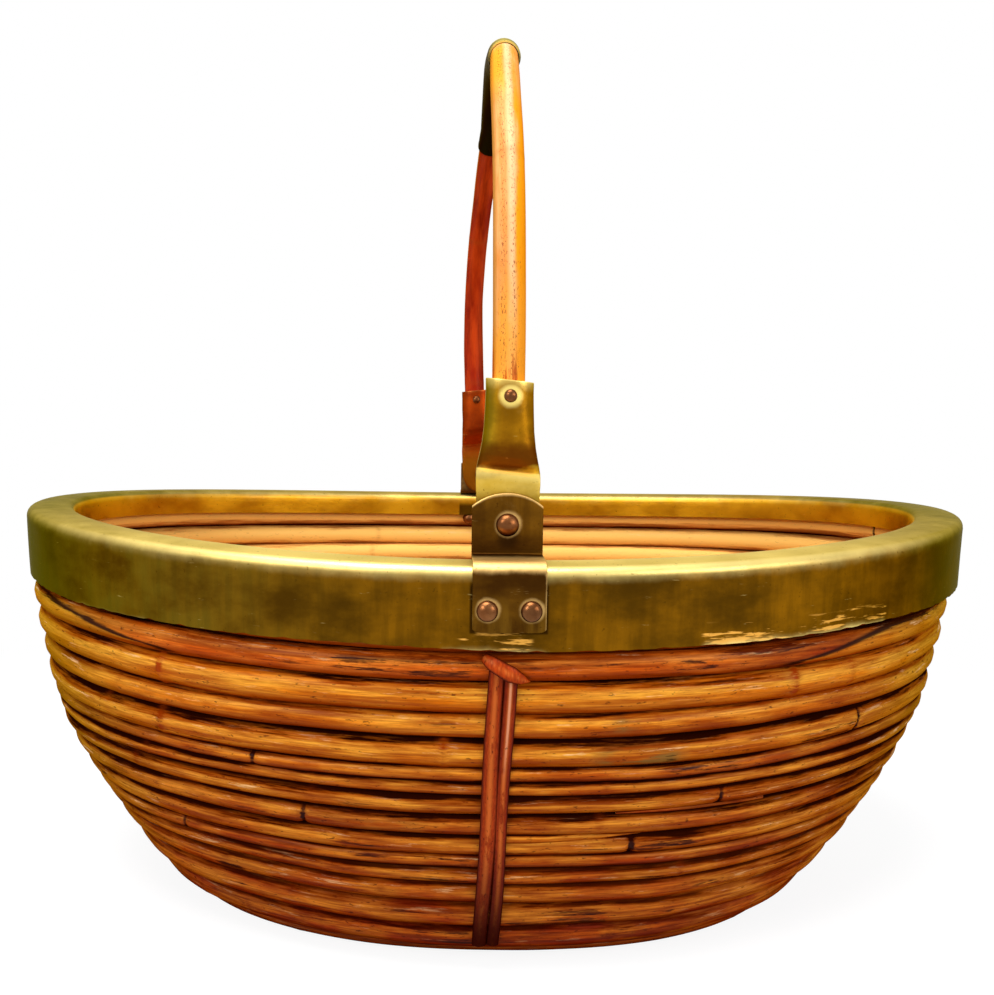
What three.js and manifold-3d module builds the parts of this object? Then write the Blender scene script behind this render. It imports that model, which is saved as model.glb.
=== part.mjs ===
// A cane basket with a brass rim band and a swinging cane handle.
// Millimetres, +Z up. The ground is z = 0, the middle of the oval base is the
// origin, the long side runs along X and the handle hinges about a line along Y.
import * as THREE from 'three';
import { mergeVertices } from 'three/addons/utils/BufferGeometryUtils.js';
import Module from 'manifold-3d';

const wasm = await Module();
wasm.setup();

// Overall
const crownHeight = 176;
const bandLength = 460;
const bandWidth = 340;
const rimLift = 8.5;

// Brass band: a channel pressed over the rim, with a deep outer skirt
const channelWidth = 22;
const skirtDepth = 31;
const lipDepth = 13;
const bandSheet = 1;
const bandCorner = 4;
const skirtTuck = 1.2;
const tuckShare = 0.3;
const wallInset = 5;

// Canes
const heavyCane = 13.2;
const stoutCane = 12.5;
const wallCane = 10.8;
const slimCane = 9;
const lightCane = 7.6;
const thinCane = 5.2;
const rimCoreCane = 9.6;
const baseCane = 12.8;
const baseCoreCane = 14;
const rimEndSwell = 0.045;
const baseEndSwell = 0.2;
const caneFlat = 0.5;
const laidGap = 0.35;
const buttGap = 0.6;
const buttStagger = 5;
const firstButt = 2;
const buttStepAside = 3;

// Base oval: a straight core cane with hoops laid round it
const coreStraight = 32;
const baseStraight = 44;
const baseRoundness = 0.6;
const baseHoopCount = 8;
const coreTip = 5;
const coreTipShare = 0.4;

// Belly of the wall between the base and the band: the ends lean out more than the sides,
// and the lowest rows droop a little at the ends
const footStraight = 40;
const toeDroop = 2;
const toePower = 6;
const endFlare = 1.9;
const endRound = 1.1;
const sideFlare = 1.1;
const sideRound = 1.7;

// Bracket: a brass strap over the rim that stands up as the hinge ear
const strapSheet = 1.6;
const strapWidth = 26.9;
const strapDrop = 24;
const earSetback = 19;
const earShoulder = 20;
const earTop = 25;
const pivotHeight = 13;

// Ferrule: the brass socket at each foot of the handle
const tongueSheet = 2;
const tongueRadius = 11.3;
const creaseAbovePivot = 20;
const creaseWidth = 24.5;
const socketTopAbovePivot = 55;
const socketTopWidth = 17.9;
const socketTopDepth = 15.8;
const shoulderDepth = 11;
const cheekWidth = 22;
const cheekAbovePivot = 28.7;
const socketSquareness = 0.8;
const creaseBevel = 1;
const socketFloorAbovePivot = 25;
const ferruleRivetAbovePivot = 48.4;

// Handle
const handleCane = 12.4;
const archCentreHeight = 76.5;
const sleeveLength = 166;
const sleeveSheet = 0.8;

// Rivets
const pivotShank = 5;
const pivotHead = 8.8;
const rimShank = 4;
const rimHead = 8;
const rimRivetSpacing = 16;
const ferruleShank = 3;
const ferruleHead = 5;
const headHeight = 0.34;
const domeProfile = [[0, 1], [0.5, 0.86], [0.86, 0.5], [1, 0]];
const tailSpread = 0.9;
const tailTop = 0.6;
const tailEdge = 1;
const tailHeight = 1.2;
const burrSheet = 1;
const burrRim = 1.7;

// Binding strips down the front and the back
const stripWidth = 5;
const stripSheet = 1.2;
const stripGap = 0.5;
const stripSeat = 0.5;
const stripStart = 2;
const stripHeadShare = 0.75;
const stripFootShare = 0.5;
const knotHeight = 7;
const groundClear = 2;

// Clearances
const seat = 0.3;
const runningFit = 0.4;

// Facets
const facets = 24;
const facetAngle = (2 * Math.PI) / facets;
const caneSides = 8;
const rivetSides = 12;
const socketSides = 12;
const bandBendPoints = 3;
const strapBendPoints = 5;
const discPoints = 9;
const sleeveBends = 9;
const armBends = 6;
const halvings = 20;
const leanest = 0.5;
const fullest = 2;

const canePaint = { color: 0xd8892f, roughness: 0.38, metalness: 0 };
const palePaint = { color: 0xdf9a4e, roughness: 0.4, metalness: 0 };
const stripPaint = { color: 0x8a3a14, roughness: 0.35, metalness: 0 };
const brassPaint = { color: 0x9a7a2c, roughness: 0.34, metalness: 1 };
const rivetPaint = { color: 0x9c6238, roughness: 0.4, metalness: 1 };

const basket = new THREE.Group();
const handle = new THREE.Group();

function addPiece(group, name, geometry, paint) {
  const mesh = new THREE.Mesh(geometry, new THREE.MeshStandardMaterial(paint));
  mesh.name = name;
  group.add(mesh);
  return mesh;
}

function twoDigits(number) {
  return String(number).padStart(2, '0');
}

// Solids from rings of points

// Joins rings of equal length into one closed solid. A looped list closes on
// itself, and an open one gets a flat cap at each end.
function solidFromRings(rings, looped) {
  const count = rings[0].length;
  const positions = rings.flat().flatMap((point) => [point.x, point.y, point.z]);
  const triangles = [];
  const spans = looped ? rings.length : rings.length - 1;
  for (let i = 0; i < spans; i += 1) {
    const near = i * count;
    const far = ((i + 1) % rings.length) * count;
    for (let j = 0; j < count; j += 1) {
      const next = (j + 1) % count;
      triangles.push(near + j, near + next, far + next);
      triangles.push(near + j, far + next, far + j);
    }
  }
  if (!looped) {
    const last = (rings.length - 1) * count;
    for (let j = 1; j < count - 1; j += 1) {
      triangles.push(0, j + 1, j);
      triangles.push(last, last + j, last + j + 1);
    }
  }
  return facingOut(positions, triangles);
}

function facingOut(positions, triangles) {
  const geometry = new THREE.BufferGeometry();
  geometry.setAttribute('position', new THREE.Float32BufferAttribute(positions, 3));
  geometry.setIndex(enclosedVolume(positions, triangles) < 0 ? triangles.reverse() : triangles);
  return geometry;
}

function enclosedVolume(positions, triangles) {
  const corner = (index) => new THREE.Vector3().fromArray(positions, 3 * index);
  let volume = 0;
  for (let i = 0; i < triangles.length; i += 3) {
    const first = corner(triangles[i]);
    const side = corner(triangles[i + 1]).cross(corner(triangles[i + 2]));
    volume += first.dot(side) / 6;
  }
  return volume;
}

// Cuts and joins

function toSolid(geometry) {
  const bare = geometry.clone();
  bare.deleteAttribute('normal');
  bare.deleteAttribute('uv');
  const merged = mergeVertices(bare, 1e-4);
  return new wasm.Manifold(new wasm.Mesh({
    numProp: 3,
    vertProperties: Float32Array.from(merged.attributes.position.array),
    triVerts: Uint32Array.from(merged.index.array),
  }));
}

function toGeometry(solid) {
  const mesh = solid.getMesh();
  const geometry = new THREE.BufferGeometry();
  geometry.setAttribute('position', new THREE.BufferAttribute(mesh.vertProperties, 3));
  geometry.setIndex(new THREE.BufferAttribute(mesh.triVerts, 1));
  return geometry;
}

function cutAway(geometry, tools) {
  const solid = tools.reduce((left, tool) => left.subtract(toSolid(tool)), toSolid(geometry));
  return toGeometry(solid);
}

// A drill along Y, centred on a point
function drill(diameter, length, x, y, z) {
  const bit = new THREE.CylinderGeometry(diameter / 2, diameter / 2, length, rivetSides);
  bit.translate(x, y, z);
  return bit;
}

// Ovals: straight sides with round ends at roundness 0, and an ellipse at roundness 1

function ovalCorners(halfLength, halfWidth, roundness) {
  const reach = 1 / Math.cos(facetAngle / 2);
  const straight = halfLength - halfWidth;
  return Array.from({ length: facets }, (_, i) => {
    const angle = (i + 0.5) * facetAngle;
    const along = Math.cos(angle);
    const ends = straight * Math.sign(along) * Math.abs(along) ** roundness * reach ** roundness;
    return {
      x: ends + halfWidth * reach * along,
      y: halfWidth * reach * Math.sin(angle),
      rise: along ** 2,
      size: 1,
    };
  });
}

function edgeNormals(corners) {
  return corners.map((corner, i) => {
    const next = corners[(i + 1) % corners.length];
    return new THREE.Vector2(next.y - corner.y, corner.x - next.x).normalize();
  });
}

// Directions that carry a corner sideways so that both of its edges move by the same amount
function mitres(normals) {
  return normals.map((normal, i) => {
    const before = normals[(i + normals.length - 1) % normals.length];
    return before.clone().add(normal).divideScalar(1 + before.dot(normal));
  });
}

// Carries a section, given as [outward, upward] points, to one place on an oval
function placeSection(section, corner, sideways, height, lift) {
  return section.map(([outward, upward]) => new THREE.Vector3(
    corner.x + outward * corner.size * sideways.x,
    corner.y + outward * corner.size * sideways.y,
    height + upward * corner.size + lift * corner.rise,
  ));
}

function sweepOval(corners, section, height, lift) {
  const directions = mitres(edgeNormals(corners));
  return solidFromRings(
    corners.map((corner, i) => placeSection(section, corner, directions[i], height, lift)),
    true,
  );
}

// Wall profile

const wallTop = crownHeight - skirtDepth;
const baseEdge = baseCoreCane / 2 + baseHoopCount * (baseCane + laidGap);
const footHalfLength = footStraight + baseEdge;
const wallHalfLength = bandLength / 2 - wallInset;
const wallHalfWidth = bandWidth / 2 - wallInset;

function wallShare(height) {
  return THREE.MathUtils.clamp(height / wallTop, 0, 1);
}

function belly(height, flare, round) {
  return (1 - (1 - wallShare(height)) ** flare) ** (1 / round);
}

function outlineAt(height) {
  const endSpread = belly(height, endFlare, endRound);
  const sideSpread = belly(height, sideFlare, sideRound);
  return {
    halfLength: THREE.MathUtils.lerp(footHalfLength, wallHalfLength, endSpread),
    halfWidth: THREE.MathUtils.lerp(baseEdge, wallHalfWidth, sideSpread),
    roundness: 1,
  };
}

// The outer face of the wall at a height, and how far it leans outward there
function wallFace(height) {
  const step = wallTop / 100;
  const low = Math.max(height - step / 2, 0);
  const below = outlineAt(low);
  const above = outlineAt(low + step);
  const share = wallShare(height);
  return {
    ...outlineAt(height),
    height,
    sideLean: Math.atan2(above.halfWidth - below.halfWidth, step),
    endLean: Math.atan2(above.halfLength - below.halfLength, step),
    lift: rimLift * share - toeDroop * (1 - share) ** toePower,
    swell: THREE.MathUtils.lerp(baseEndSwell, rimEndSwell, share),
    inset: 0,
  };
}

// Hoops of cane

// A hoop lies against the inside of its face. Its section is as wide and as
// thick as the cane, with flats outside and inside. A wall cane is a little
// fuller at the ends of the oval, where the lower rows spread.
function caneSection(lean, radius, inset) {
  const outward = new THREE.Vector2(Math.cos(lean), -Math.sin(lean));
  const upward = new THREE.Vector2(Math.sin(lean), Math.cos(lean));
  const flat = caneFlat;
  const shape = [[1, 0], [flat, 1], [-flat, 1], [-1, 0], [-flat, -1], [flat, -1]];
  return shape.map(([up, out]) => {
    const point = upward.clone().multiplyScalar(up * radius);
    point.addScaledVector(outward, (out - 1) * radius - inset);
    return [point.x, point.y];
  });
}

function makeHoop(face, diameter) {
  const radius = diameter / 2;
  const hoop = { ...face, radius };
  hoop.corners = ovalCorners(face.halfLength, face.halfWidth, face.roundness)
    .map((corner) => ({ ...corner, size: 1 + face.swell * corner.rise }));
  const directions = mitres(edgeNormals(hoop.corners));
  hoop.centreLine = hoop.corners.map((corner, i) => {
    const lean = leanAt(face, corner.rise);
    const depth = radius + face.inset;
    const middle = [[-depth * Math.cos(lean), depth * Math.sin(lean)]];
    return placeSection(middle, corner, directions[i], face.height, face.lift)[0];
  });
  return hoop;
}

// The wall leans by one angle at the sides and by another at the ends of the oval
function leanAt(face, rise) {
  return THREE.MathUtils.lerp(face.sideLean, face.endLean, rise);
}

// Least distance between the surfaces of two hoops
function clearBetween(first, second) {
  const line = new THREE.Line3();
  const nearest = new THREE.Vector3();
  let least = Infinity;
  for (const [one, other] of [[first, second], [second, first]]) {
    one.centreLine.forEach((point, i) => {
      for (const offset of [-2, -1, 0, 1]) {
        const start = (i + offset + facets) % facets;
        line.set(other.centreLine[start], other.centreLine[(start + 1) % facets]);
        line.closestPointToPoint(point, true, nearest);
        const reach = one.radius * one.corners[i].size + other.radius * other.corners[i].size;
        least = Math.min(least, point.distanceTo(nearest) - reach);
      }
    });
  }
  return least;
}

// The hoop that lies just under another, down the wall
function hoopBelow(above, diameter) {
  let clash = above.height;
  let free = above.height - 2 * diameter;
  for (let i = 0; i < halvings; i += 1) {
    const middle = (clash + free) / 2;
    const trial = makeHoop(wallFace(Math.max(middle, 0)), diameter);
    if (clearBetween(above, trial) < laidGap) clash = middle;
    else free = middle;
  }
  return free < 0 ? null : makeHoop(wallFace(free), diameter);
}

function rimCoreHoop(inset) {
  const radius = rimCoreCane / 2;
  const face = {
    halfLength: bandLength / 2,
    halfWidth: bandWidth / 2,
    roundness: 1,
    height: crownHeight - bandSheet - seat - radius,
    sideLean: 0,
    endLean: 0,
    lift: rimLift,
    swell: 0,
    inset,
  };
  return makeHoop(face, rimCoreCane);
}

// The hoops round the core pass from straight sides with round ends to the oval of the wall
function baseHoop(index) {
  const radius = baseEdge - baseCane / 2 - index * (baseCane + laidGap);
  const share = radius / baseEdge;
  const face = {
    halfLength: THREE.MathUtils.lerp(coreStraight, baseStraight, share) + radius,
    halfWidth: radius,
    roundness: baseRoundness * share,
    height: 0,
    sideLean: Math.PI / 2,
    endLean: Math.PI / 2,
    lift: 0,
    swell: 0,
    inset: 0,
  };
  return makeHoop(face, baseCane);
}

const outerRimCore = rimCoreHoop(bandSheet + seat);
const innerRimCore = rimCoreHoop(bandSheet + 2 * seat + rimCoreCane);
const baseHoops = Array.from({ length: baseHoopCount }, (_, i) => baseHoop(i));

// Canes picked for the rows, from the rim down
const rowCanes = [
  wallCane, wallCane, wallCane, stoutCane, slimCane, stoutCane, thinCane, thinCane,
  slimCane, slimCane, slimCane, thinCane, lightCane, wallCane, heavyCane, heavyCane,
];

// Lays the rows down the wall, and stops early where one would not clear the base
function layRows(fullness) {
  const rows = [];
  let above = outerRimCore;
  for (const cane of rowCanes) {
    const hoop = hoopBelow(above, cane * fullness);
    if (!hoop || clearBetween(hoop, baseHoops[0]) < laidGap) return rows;
    rows.push(hoop);
    above = hoop;
  }
  return rows;
}

// The canes are all picked a little fuller or leaner, so that the rows just fill the wall
function fillWall() {
  let fits = leanest;
  let tooFull = fullest;
  for (let i = 0; i < halvings; i += 1) {
    const middle = (fits + tooFull) / 2;
    if (layRows(middle).length < rowCanes.length) tooFull = middle;
    else fits = middle;
  }
  return layRows(fits);
}

const wallRows = fillWall();

// One length of cane bent round and butted in the middle of one facet
function hoopSolid(hoop, buttFacet) {
  const { corners, height, lift, radius, inset } = hoop;
  const ringAtCorner = (corner, sideways) => {
    const section = caneSection(leanAt(hoop, corner.rise), radius, inset);
    return placeSection(section, corner, sideways, height, lift);
  };
  const normals = edgeNormals(corners);
  const directions = mitres(normals);
  const start = corners[buttFacet];
  const end = corners[(buttFacet + 1) % facets];
  const half = buttGap / 2 / Math.hypot(end.x - start.x, end.y - start.y);
  const buttRing = (share) => {
    const between = (key) => THREE.MathUtils.lerp(start[key], end[key], share);
    const corner = { x: between('x'), y: between('y'), rise: between('rise'), size: between('size') };
    return ringAtCorner(corner, normals[buttFacet]);
  };
  const rings = [buttRing(0.5 + half)];
  for (let i = 1; i <= facets; i += 1) {
    const at = (buttFacet + i) % facets;
    rings.push(ringAtCorner(corners[at], directions[at]));
  }
  rings.push(buttRing(0.5 - half));
  return solidFromRings(rings, false);
}

// The butts are staggered from row to row, and keep off the middle of the front and back
function buttFacetOf(row) {
  const facet = (row * buttStagger + firstButt) % facets;
  const inMiddle = (facet - facets / 4 + 1) % (facets / 2) < 2;
  return inMiddle ? facet + buttStepAside : facet;
}

// Places that the hardware shares

const frontRise = Math.cos(Math.PI / 2 - facetAngle / 2) ** 2;
const frontCrown = crownHeight + rimLift * frontRise;
const bandFace = bandWidth / 2;
const rimRivetHeight = wallRows[0].height + frontRise * wallRows[0].lift;
const wallInnerFace = bandFace - wallInset - 2 * wallRows[0].radius;
const earOuterFace = bandFace - earSetback;
const tongueOuterFace = earOuterFace - strapSheet - seat;
const tongueInnerFace = tongueOuterFace - tongueSheet;
const legOffset = (tongueOuterFace + tongueInnerFace) / 2;
const pivotZ = frontCrown + pivotHeight;

function rimRivetDrills(side) {
  return [-1, 1].map((hand) => drill(
    rimShank + runningFit,
    4 * channelWidth,
    hand * rimRivetSpacing / 2,
    side * bandFace,
    rimRivetHeight,
  ));
}

// Brass band

function arcPoints(centreOut, centreUp, radius, from, to, count) {
  return Array.from({ length: count }, (_, i) => {
    const angle = THREE.MathUtils.degToRad(THREE.MathUtils.lerp(from, to, i / (count - 1)));
    return [centreOut + radius * Math.cos(angle), centreUp + radius * Math.sin(angle)];
  });
}

function bandSection() {
  const inner = bandCorner - bandSheet;
  const tuckStart = (tuckShare - 1) * skirtDepth;
  return [
    [-skirtTuck, -skirtDepth],
    [0, tuckStart],
    ...arcPoints(-bandCorner, -bandCorner, bandCorner, 0, 90, bandBendPoints),
    ...arcPoints(bandCorner - channelWidth, -bandCorner, bandCorner, 90, 180, bandBendPoints),
    [-channelWidth, -lipDepth],
    [bandSheet - channelWidth, -lipDepth],
    ...arcPoints(bandCorner - channelWidth, -bandCorner, inner, 180, 90, bandBendPoints),
    ...arcPoints(-bandCorner, -bandCorner, inner, 90, 0, bandBendPoints),
    [-bandSheet, tuckStart],
    [-skirtTuck - bandSheet, -skirtDepth],
  ];
}

function bandSolid() {
  const corners = ovalCorners(bandLength / 2, bandWidth / 2, 1);
  const channel = sweepOval(corners, bandSection(), crownHeight, rimLift);
  return cutAway(channel, [...rimRivetDrills(-1), ...rimRivetDrills(1)]);
}

// Bracket

function extrudeShape(points, depth) {
  const shape = new THREE.Shape(points.map(([x, y]) => new THREE.Vector2(x, y)));
  const solid = new THREE.ExtrudeGeometry(shape, { depth, bevelEnabled: false });
  solid.translate(0, 0, -depth / 2);
  return solid;
}

// Section [outward, upward] from the band's face and crown, for the front side
const sectionToFront = new THREE.Matrix4().makeBasis(
  new THREE.Vector3(0, -1, 0),
  new THREE.Vector3(0, 0, 1),
  new THREE.Vector3(-1, 0, 0),
).setPosition(0, -bandFace, frontCrown);

// Outline [across, upward] that faces the front, at its own distance from the middle
function outlineToFront(distance) {
  return new THREE.Matrix4().makeRotationX(Math.PI / 2).setPosition(0, -distance, frontCrown);
}

function bracketSolid() {
  const outside = seat + strapSheet;
  const corner = [-bandCorner, -bandCorner];
  const side = extrudeShape([
    [seat, -strapDrop],
    [outside, -strapDrop],
    ...arcPoints(...corner, bandCorner + outside, 0, 90, strapBendPoints),
    [-earSetback, outside],
    [-earSetback, earTop],
    [-earSetback - strapSheet, earTop],
    [-earSetback - strapSheet, outside],
    [-earSetback, seat],
    ...arcPoints(...corner, bandCorner + seat, 90, 0, strapBendPoints),
  ], strapWidth).applyMatrix4(sectionToFront);
  const half = strapWidth / 2;
  const arch = earTop - earShoulder;
  const archRadius = (half ** 2 + arch ** 2) / (2 * arch);
  const sweep = THREE.MathUtils.radToDeg(Math.asin(half / archRadius));
  const outline = extrudeShape([
    [-half, -strapDrop - seat],
    [half, -strapDrop - seat],
    ...arcPoints(0, earTop - archRadius, archRadius, 90 - sweep, 90 + sweep, discPoints),
  ], 4 * channelWidth).applyMatrix4(outlineToFront(bandFace));
  const strap = toSolid(side).intersect(toSolid(outline));
  const pivotHole = drill(pivotShank + runningFit, 4 * strapSheet, 0, -earOuterFace, pivotZ);
  return cutAway(toGeometry(strap), [...rimRivetDrills(-1), pivotHole]);
}

// Rivets and burrs, turned about Y

// A domed head outside, a shank, and a tail spread over the burr inside.
// The grip is the distance from under the head to the outer face of the burr.
function rivetSolid(shank, head, grip) {
  const tail = shank / 2 + tailSpread;
  const dome = domeProfile.map(([out, up]) => [out * head / 2, up * head * headHeight]);
  const profile = [
    ...dome,
    [shank / 2, 0],
    [shank / 2, -grip],
    [tail, -grip],
    [tailTop * tail, -grip - tailEdge],
    [0, -grip - tailHeight],
  ].map(([x, y]) => new THREE.Vector2(x, y)).reverse();
  return new THREE.LatheGeometry(profile, rivetSides);
}

function burrSolid(shank) {
  const bore = (shank + runningFit) / 2;
  const profile = [
    [bore, 0],
    [bore + burrRim, 0],
    [bore + burrRim, burrSheet],
    [bore, burrSheet],
    [bore, 0],
  ].map(([x, y]) => new THREE.Vector2(x, y));
  return new THREE.LatheGeometry(profile, rivetSides);
}

// Turns a part made along +Y so that it points out of the front, at a distance from the middle
function pointOut(geometry, x, distance, z) {
  return geometry.rotateZ(Math.PI).translate(x, -distance, z);
}

// Ferrule

// A level ring of the socket, a little squarer than an ellipse
function ringAt(height, width, depth) {
  const squared = (share) => Math.sign(share) * Math.abs(share) ** socketSquareness;
  return Array.from({ length: socketSides }, (_, i) => {
    const angle = ((i + 0.5) * 2 * Math.PI) / socketSides;
    const across = squared(Math.cos(angle));
    const deep = squared(Math.sin(angle));
    return new THREE.Vector3(across * width / 2, deep * depth / 2, height);
  });
}

// The ferrule stands on the pivot: z is measured up from it, and y from the leg's middle
function ferruleSolid() {
  const shoulder = (creaseAbovePivot + socketFloorAbovePivot) / 2;
  const socket = solidFromRings([
    ringAt(creaseAbovePivot, creaseWidth, 2 * tongueSheet),
    ringAt(shoulder, creaseWidth, shoulderDepth),
    ringAt(cheekAbovePivot, cheekWidth, socketTopDepth),
    ringAt(socketTopAbovePivot, socketTopWidth, socketTopDepth),
  ], false);
  const plate = extrudeShape([
    ...arcPoints(0, 0, tongueRadius, 180, 360, discPoints),
    [creaseWidth / 2, creaseAbovePivot],
    [creaseWidth / 2 - creaseBevel, creaseAbovePivot + creaseBevel],
    [creaseBevel - creaseWidth / 2, creaseAbovePivot + creaseBevel],
    [-creaseWidth / 2, creaseAbovePivot],
  ], tongueSheet).rotateX(Math.PI / 2);
  const boreLength = socketTopAbovePivot - socketFloorAbovePivot;
  const bore = new THREE.CylinderGeometry(
    handleCane / 2 + seat,
    handleCane / 2 + seat,
    2 * boreLength,
    2 * caneSides,
  ).rotateX(Math.PI / 2).translate(0, 0, socketTopAbovePivot);
  const joined = toGeometry(toSolid(socket).add(toSolid(plate)));
  return cutAway(joined, [
    bore,
    drill(pivotShank + 2 * runningFit, 4 * tongueSheet, 0, 0, 0),
    drill(ferruleShank + runningFit, 2 * socketTopDepth, 0, 0, ferruleRivetAbovePivot),
  ]);
}

// Handle

const archCentre = frontCrown + archCentreHeight;
const legFoot = pivotZ + socketFloorAbovePivot + seat;

// A ring about a point of the handle's line, whose outward direction leans back from the front
function handleRing(y, z, turn, radius) {
  return Array.from({ length: caneSides }, (_, i) => {
    const angle = (i * 2 * Math.PI) / caneSides;
    const outward = radius * Math.cos(angle);
    return new THREE.Vector3(
      radius * Math.sin(angle),
      y - outward * Math.cos(turn),
      z + outward * Math.sin(turn),
    );
  });
}

function archRing(turn, radius) {
  const y = -legOffset * Math.cos(turn);
  return handleRing(y, archCentre + legOffset * Math.sin(turn), turn, radius);
}

function turnsBetween(from, to, count) {
  return Array.from({ length: count }, (_, i) => THREE.MathUtils.lerp(from, to, i / (count - 1)));
}

// The sleeve and the cane inside it bend at the same places
const sleeveHalfTurn = sleeveLength / 2 / legOffset;
const sleeveStart = Math.PI / 2 - sleeveHalfTurn;
const sleeveEnd = Math.PI / 2 + sleeveHalfTurn;
const sleeveTurns = turnsBetween(sleeveStart, sleeveEnd, sleeveBends);

function handleSolid() {
  const radius = handleCane / 2;
  const turns = [
    ...turnsBetween(0, sleeveStart, armBends).slice(0, -1),
    ...sleeveTurns,
    ...turnsBetween(sleeveEnd, Math.PI, armBends).slice(1),
  ];
  const bar = solidFromRings([
    handleRing(-legOffset, legFoot, 0, radius),
    ...turns.map((turn) => archRing(turn, radius)),
    handleRing(legOffset, legFoot, Math.PI, radius),
  ], false);
  const height = pivotZ + ferruleRivetAbovePivot;
  return cutAway(bar, [-1, 1].map((side) => (
    drill(ferruleShank + runningFit, 2 * handleCane, 0, side * legOffset, height)
  )));
}

function sleeveSolid() {
  const inner = handleCane / 2 + seat;
  const outside = sleeveTurns.map((turn) => archRing(turn, inner + sleeveSheet));
  const inside = sleeveTurns.map((turn) => archRing(turn, inner)).reverse();
  return solidFromRings([...outside, ...inside], true);
}

// Binding strips

function facePoint(hoop, along, outward) {
  const { halfWidth, height, lift } = hoop;
  const lean = leanAt(hoop, frontRise);
  return [
    halfWidth - bandFace + outward * Math.cos(lean) + along * Math.sin(lean),
    height - frontCrown + frontRise * lift - outward * Math.sin(lean) + along * Math.cos(lean),
  ];
}

const stripRows = wallRows.slice(stripStart).filter((hoop) => (
  hoop.height - (stripSeat + stripSheet) * Math.sin(hoop.sideLean) > groundClear
));

function stripSolid(hand) {
  const first = stripRows[0];
  const last = stripRows[stripRows.length - 1];
  const face = (outward) => [
    facePoint(first, stripHeadShare * first.radius, outward),
    ...stripRows.map((hoop) => facePoint(hoop, 0, outward)),
    facePoint(last, -stripFootShare * last.radius, outward),
  ];
  const outline = [...face(stripSeat), ...face(stripSeat + stripSheet).reverse()];
  const strip = extrudeShape(outline, stripWidth).applyMatrix4(sectionToFront);
  return strip.translate(hand * (stripWidth + stripGap) / 2, 0, 0);
}

// A strip end drawn across both strips and tucked in beside them
function knotSolid() {
  const hoop = stripRows[0];
  const half = stripWidth + stripGap / 2 + seat;
  const under = stripSeat + stripSheet + seat;
  const over = under + stripSheet;
  const staple = extrudeShape([
    [-half - stripSheet, stripSeat],
    [-half, stripSeat],
    [-half, under],
    [half, under],
    [half, stripSeat],
    [half + stripSheet, stripSeat],
    [half + stripSheet, over],
    [-half - stripSheet, over],
  ], knotHeight);
  const [out, up] = facePoint(hoop, 0, 0);
  const lean = leanAt(hoop, frontRise);
  const place = new THREE.Matrix4().makeBasis(
    new THREE.Vector3(1, 0, 0),
    new THREE.Vector3(0, -Math.cos(lean), -Math.sin(lean)),
    new THREE.Vector3(0, Math.sin(lean), -Math.cos(lean)),
  ).setPosition(0, -bandFace - out, frontCrown + up);
  return staple.applyMatrix4(place);
}

// Assembly: canes

wallRows.forEach((hoop, row) => {
  let solid = hoopSolid(hoop, buttFacetOf(row));
  if (row === 0) solid = cutAway(solid, [...rimRivetDrills(-1), ...rimRivetDrills(1)]);
  addPiece(basket, `wall_hoop_${twoDigits(row + 1)}`, solid, canePaint);
});
addPiece(basket, 'rim_core_outer', hoopSolid(outerRimCore, buttFacetOf(1)), canePaint);
addPiece(basket, 'rim_core_inner', hoopSolid(innerRimCore, buttFacetOf(4)), canePaint);
baseHoops.forEach((hoop, i) => {
  addPiece(basket, `base_hoop_${i + 1}`, hoopSolid(hoop, buttFacetOf(2 * i)), canePaint);
});

// The straight cane in the middle of the base, with rounded ends that fill the innermost hoop
function coreCaneSolid() {
  const radius = baseCoreCane / 2;
  const section = caneSection(Math.PI / 2, radius, 0);
  const ring = (x, fullness) => section.map(([across, up]) => (
    new THREE.Vector3(x, fullness * across, radius + fullness * (up - radius))
  ));
  const tip = coreStraight + coreTip;
  return solidFromRings([
    ring(-tip, coreTipShare),
    ring(-coreStraight, 1),
    ring(coreStraight, 1),
    ring(tip, coreTipShare),
  ], false);
}
addPiece(basket, 'base_core_cane', coreCaneSolid(), canePaint);

// Assembly: band, hinges and handle

addPiece(basket, 'rim_band', bandSolid(), brassPaint);
addPiece(handle, 'handle_cane', handleSolid(), palePaint);
addPiece(handle, 'grip_sleeve', sleeveSolid(), brassPaint);

const rimGrip = bandFace + seat + strapSheet + seat - wallInnerFace + 2 * seat + burrSheet;
const pivotGrip = strapSheet + tongueSheet + burrSheet + 4 * seat;
const ferruleGrip = socketTopDepth + 2 * seat;

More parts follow.
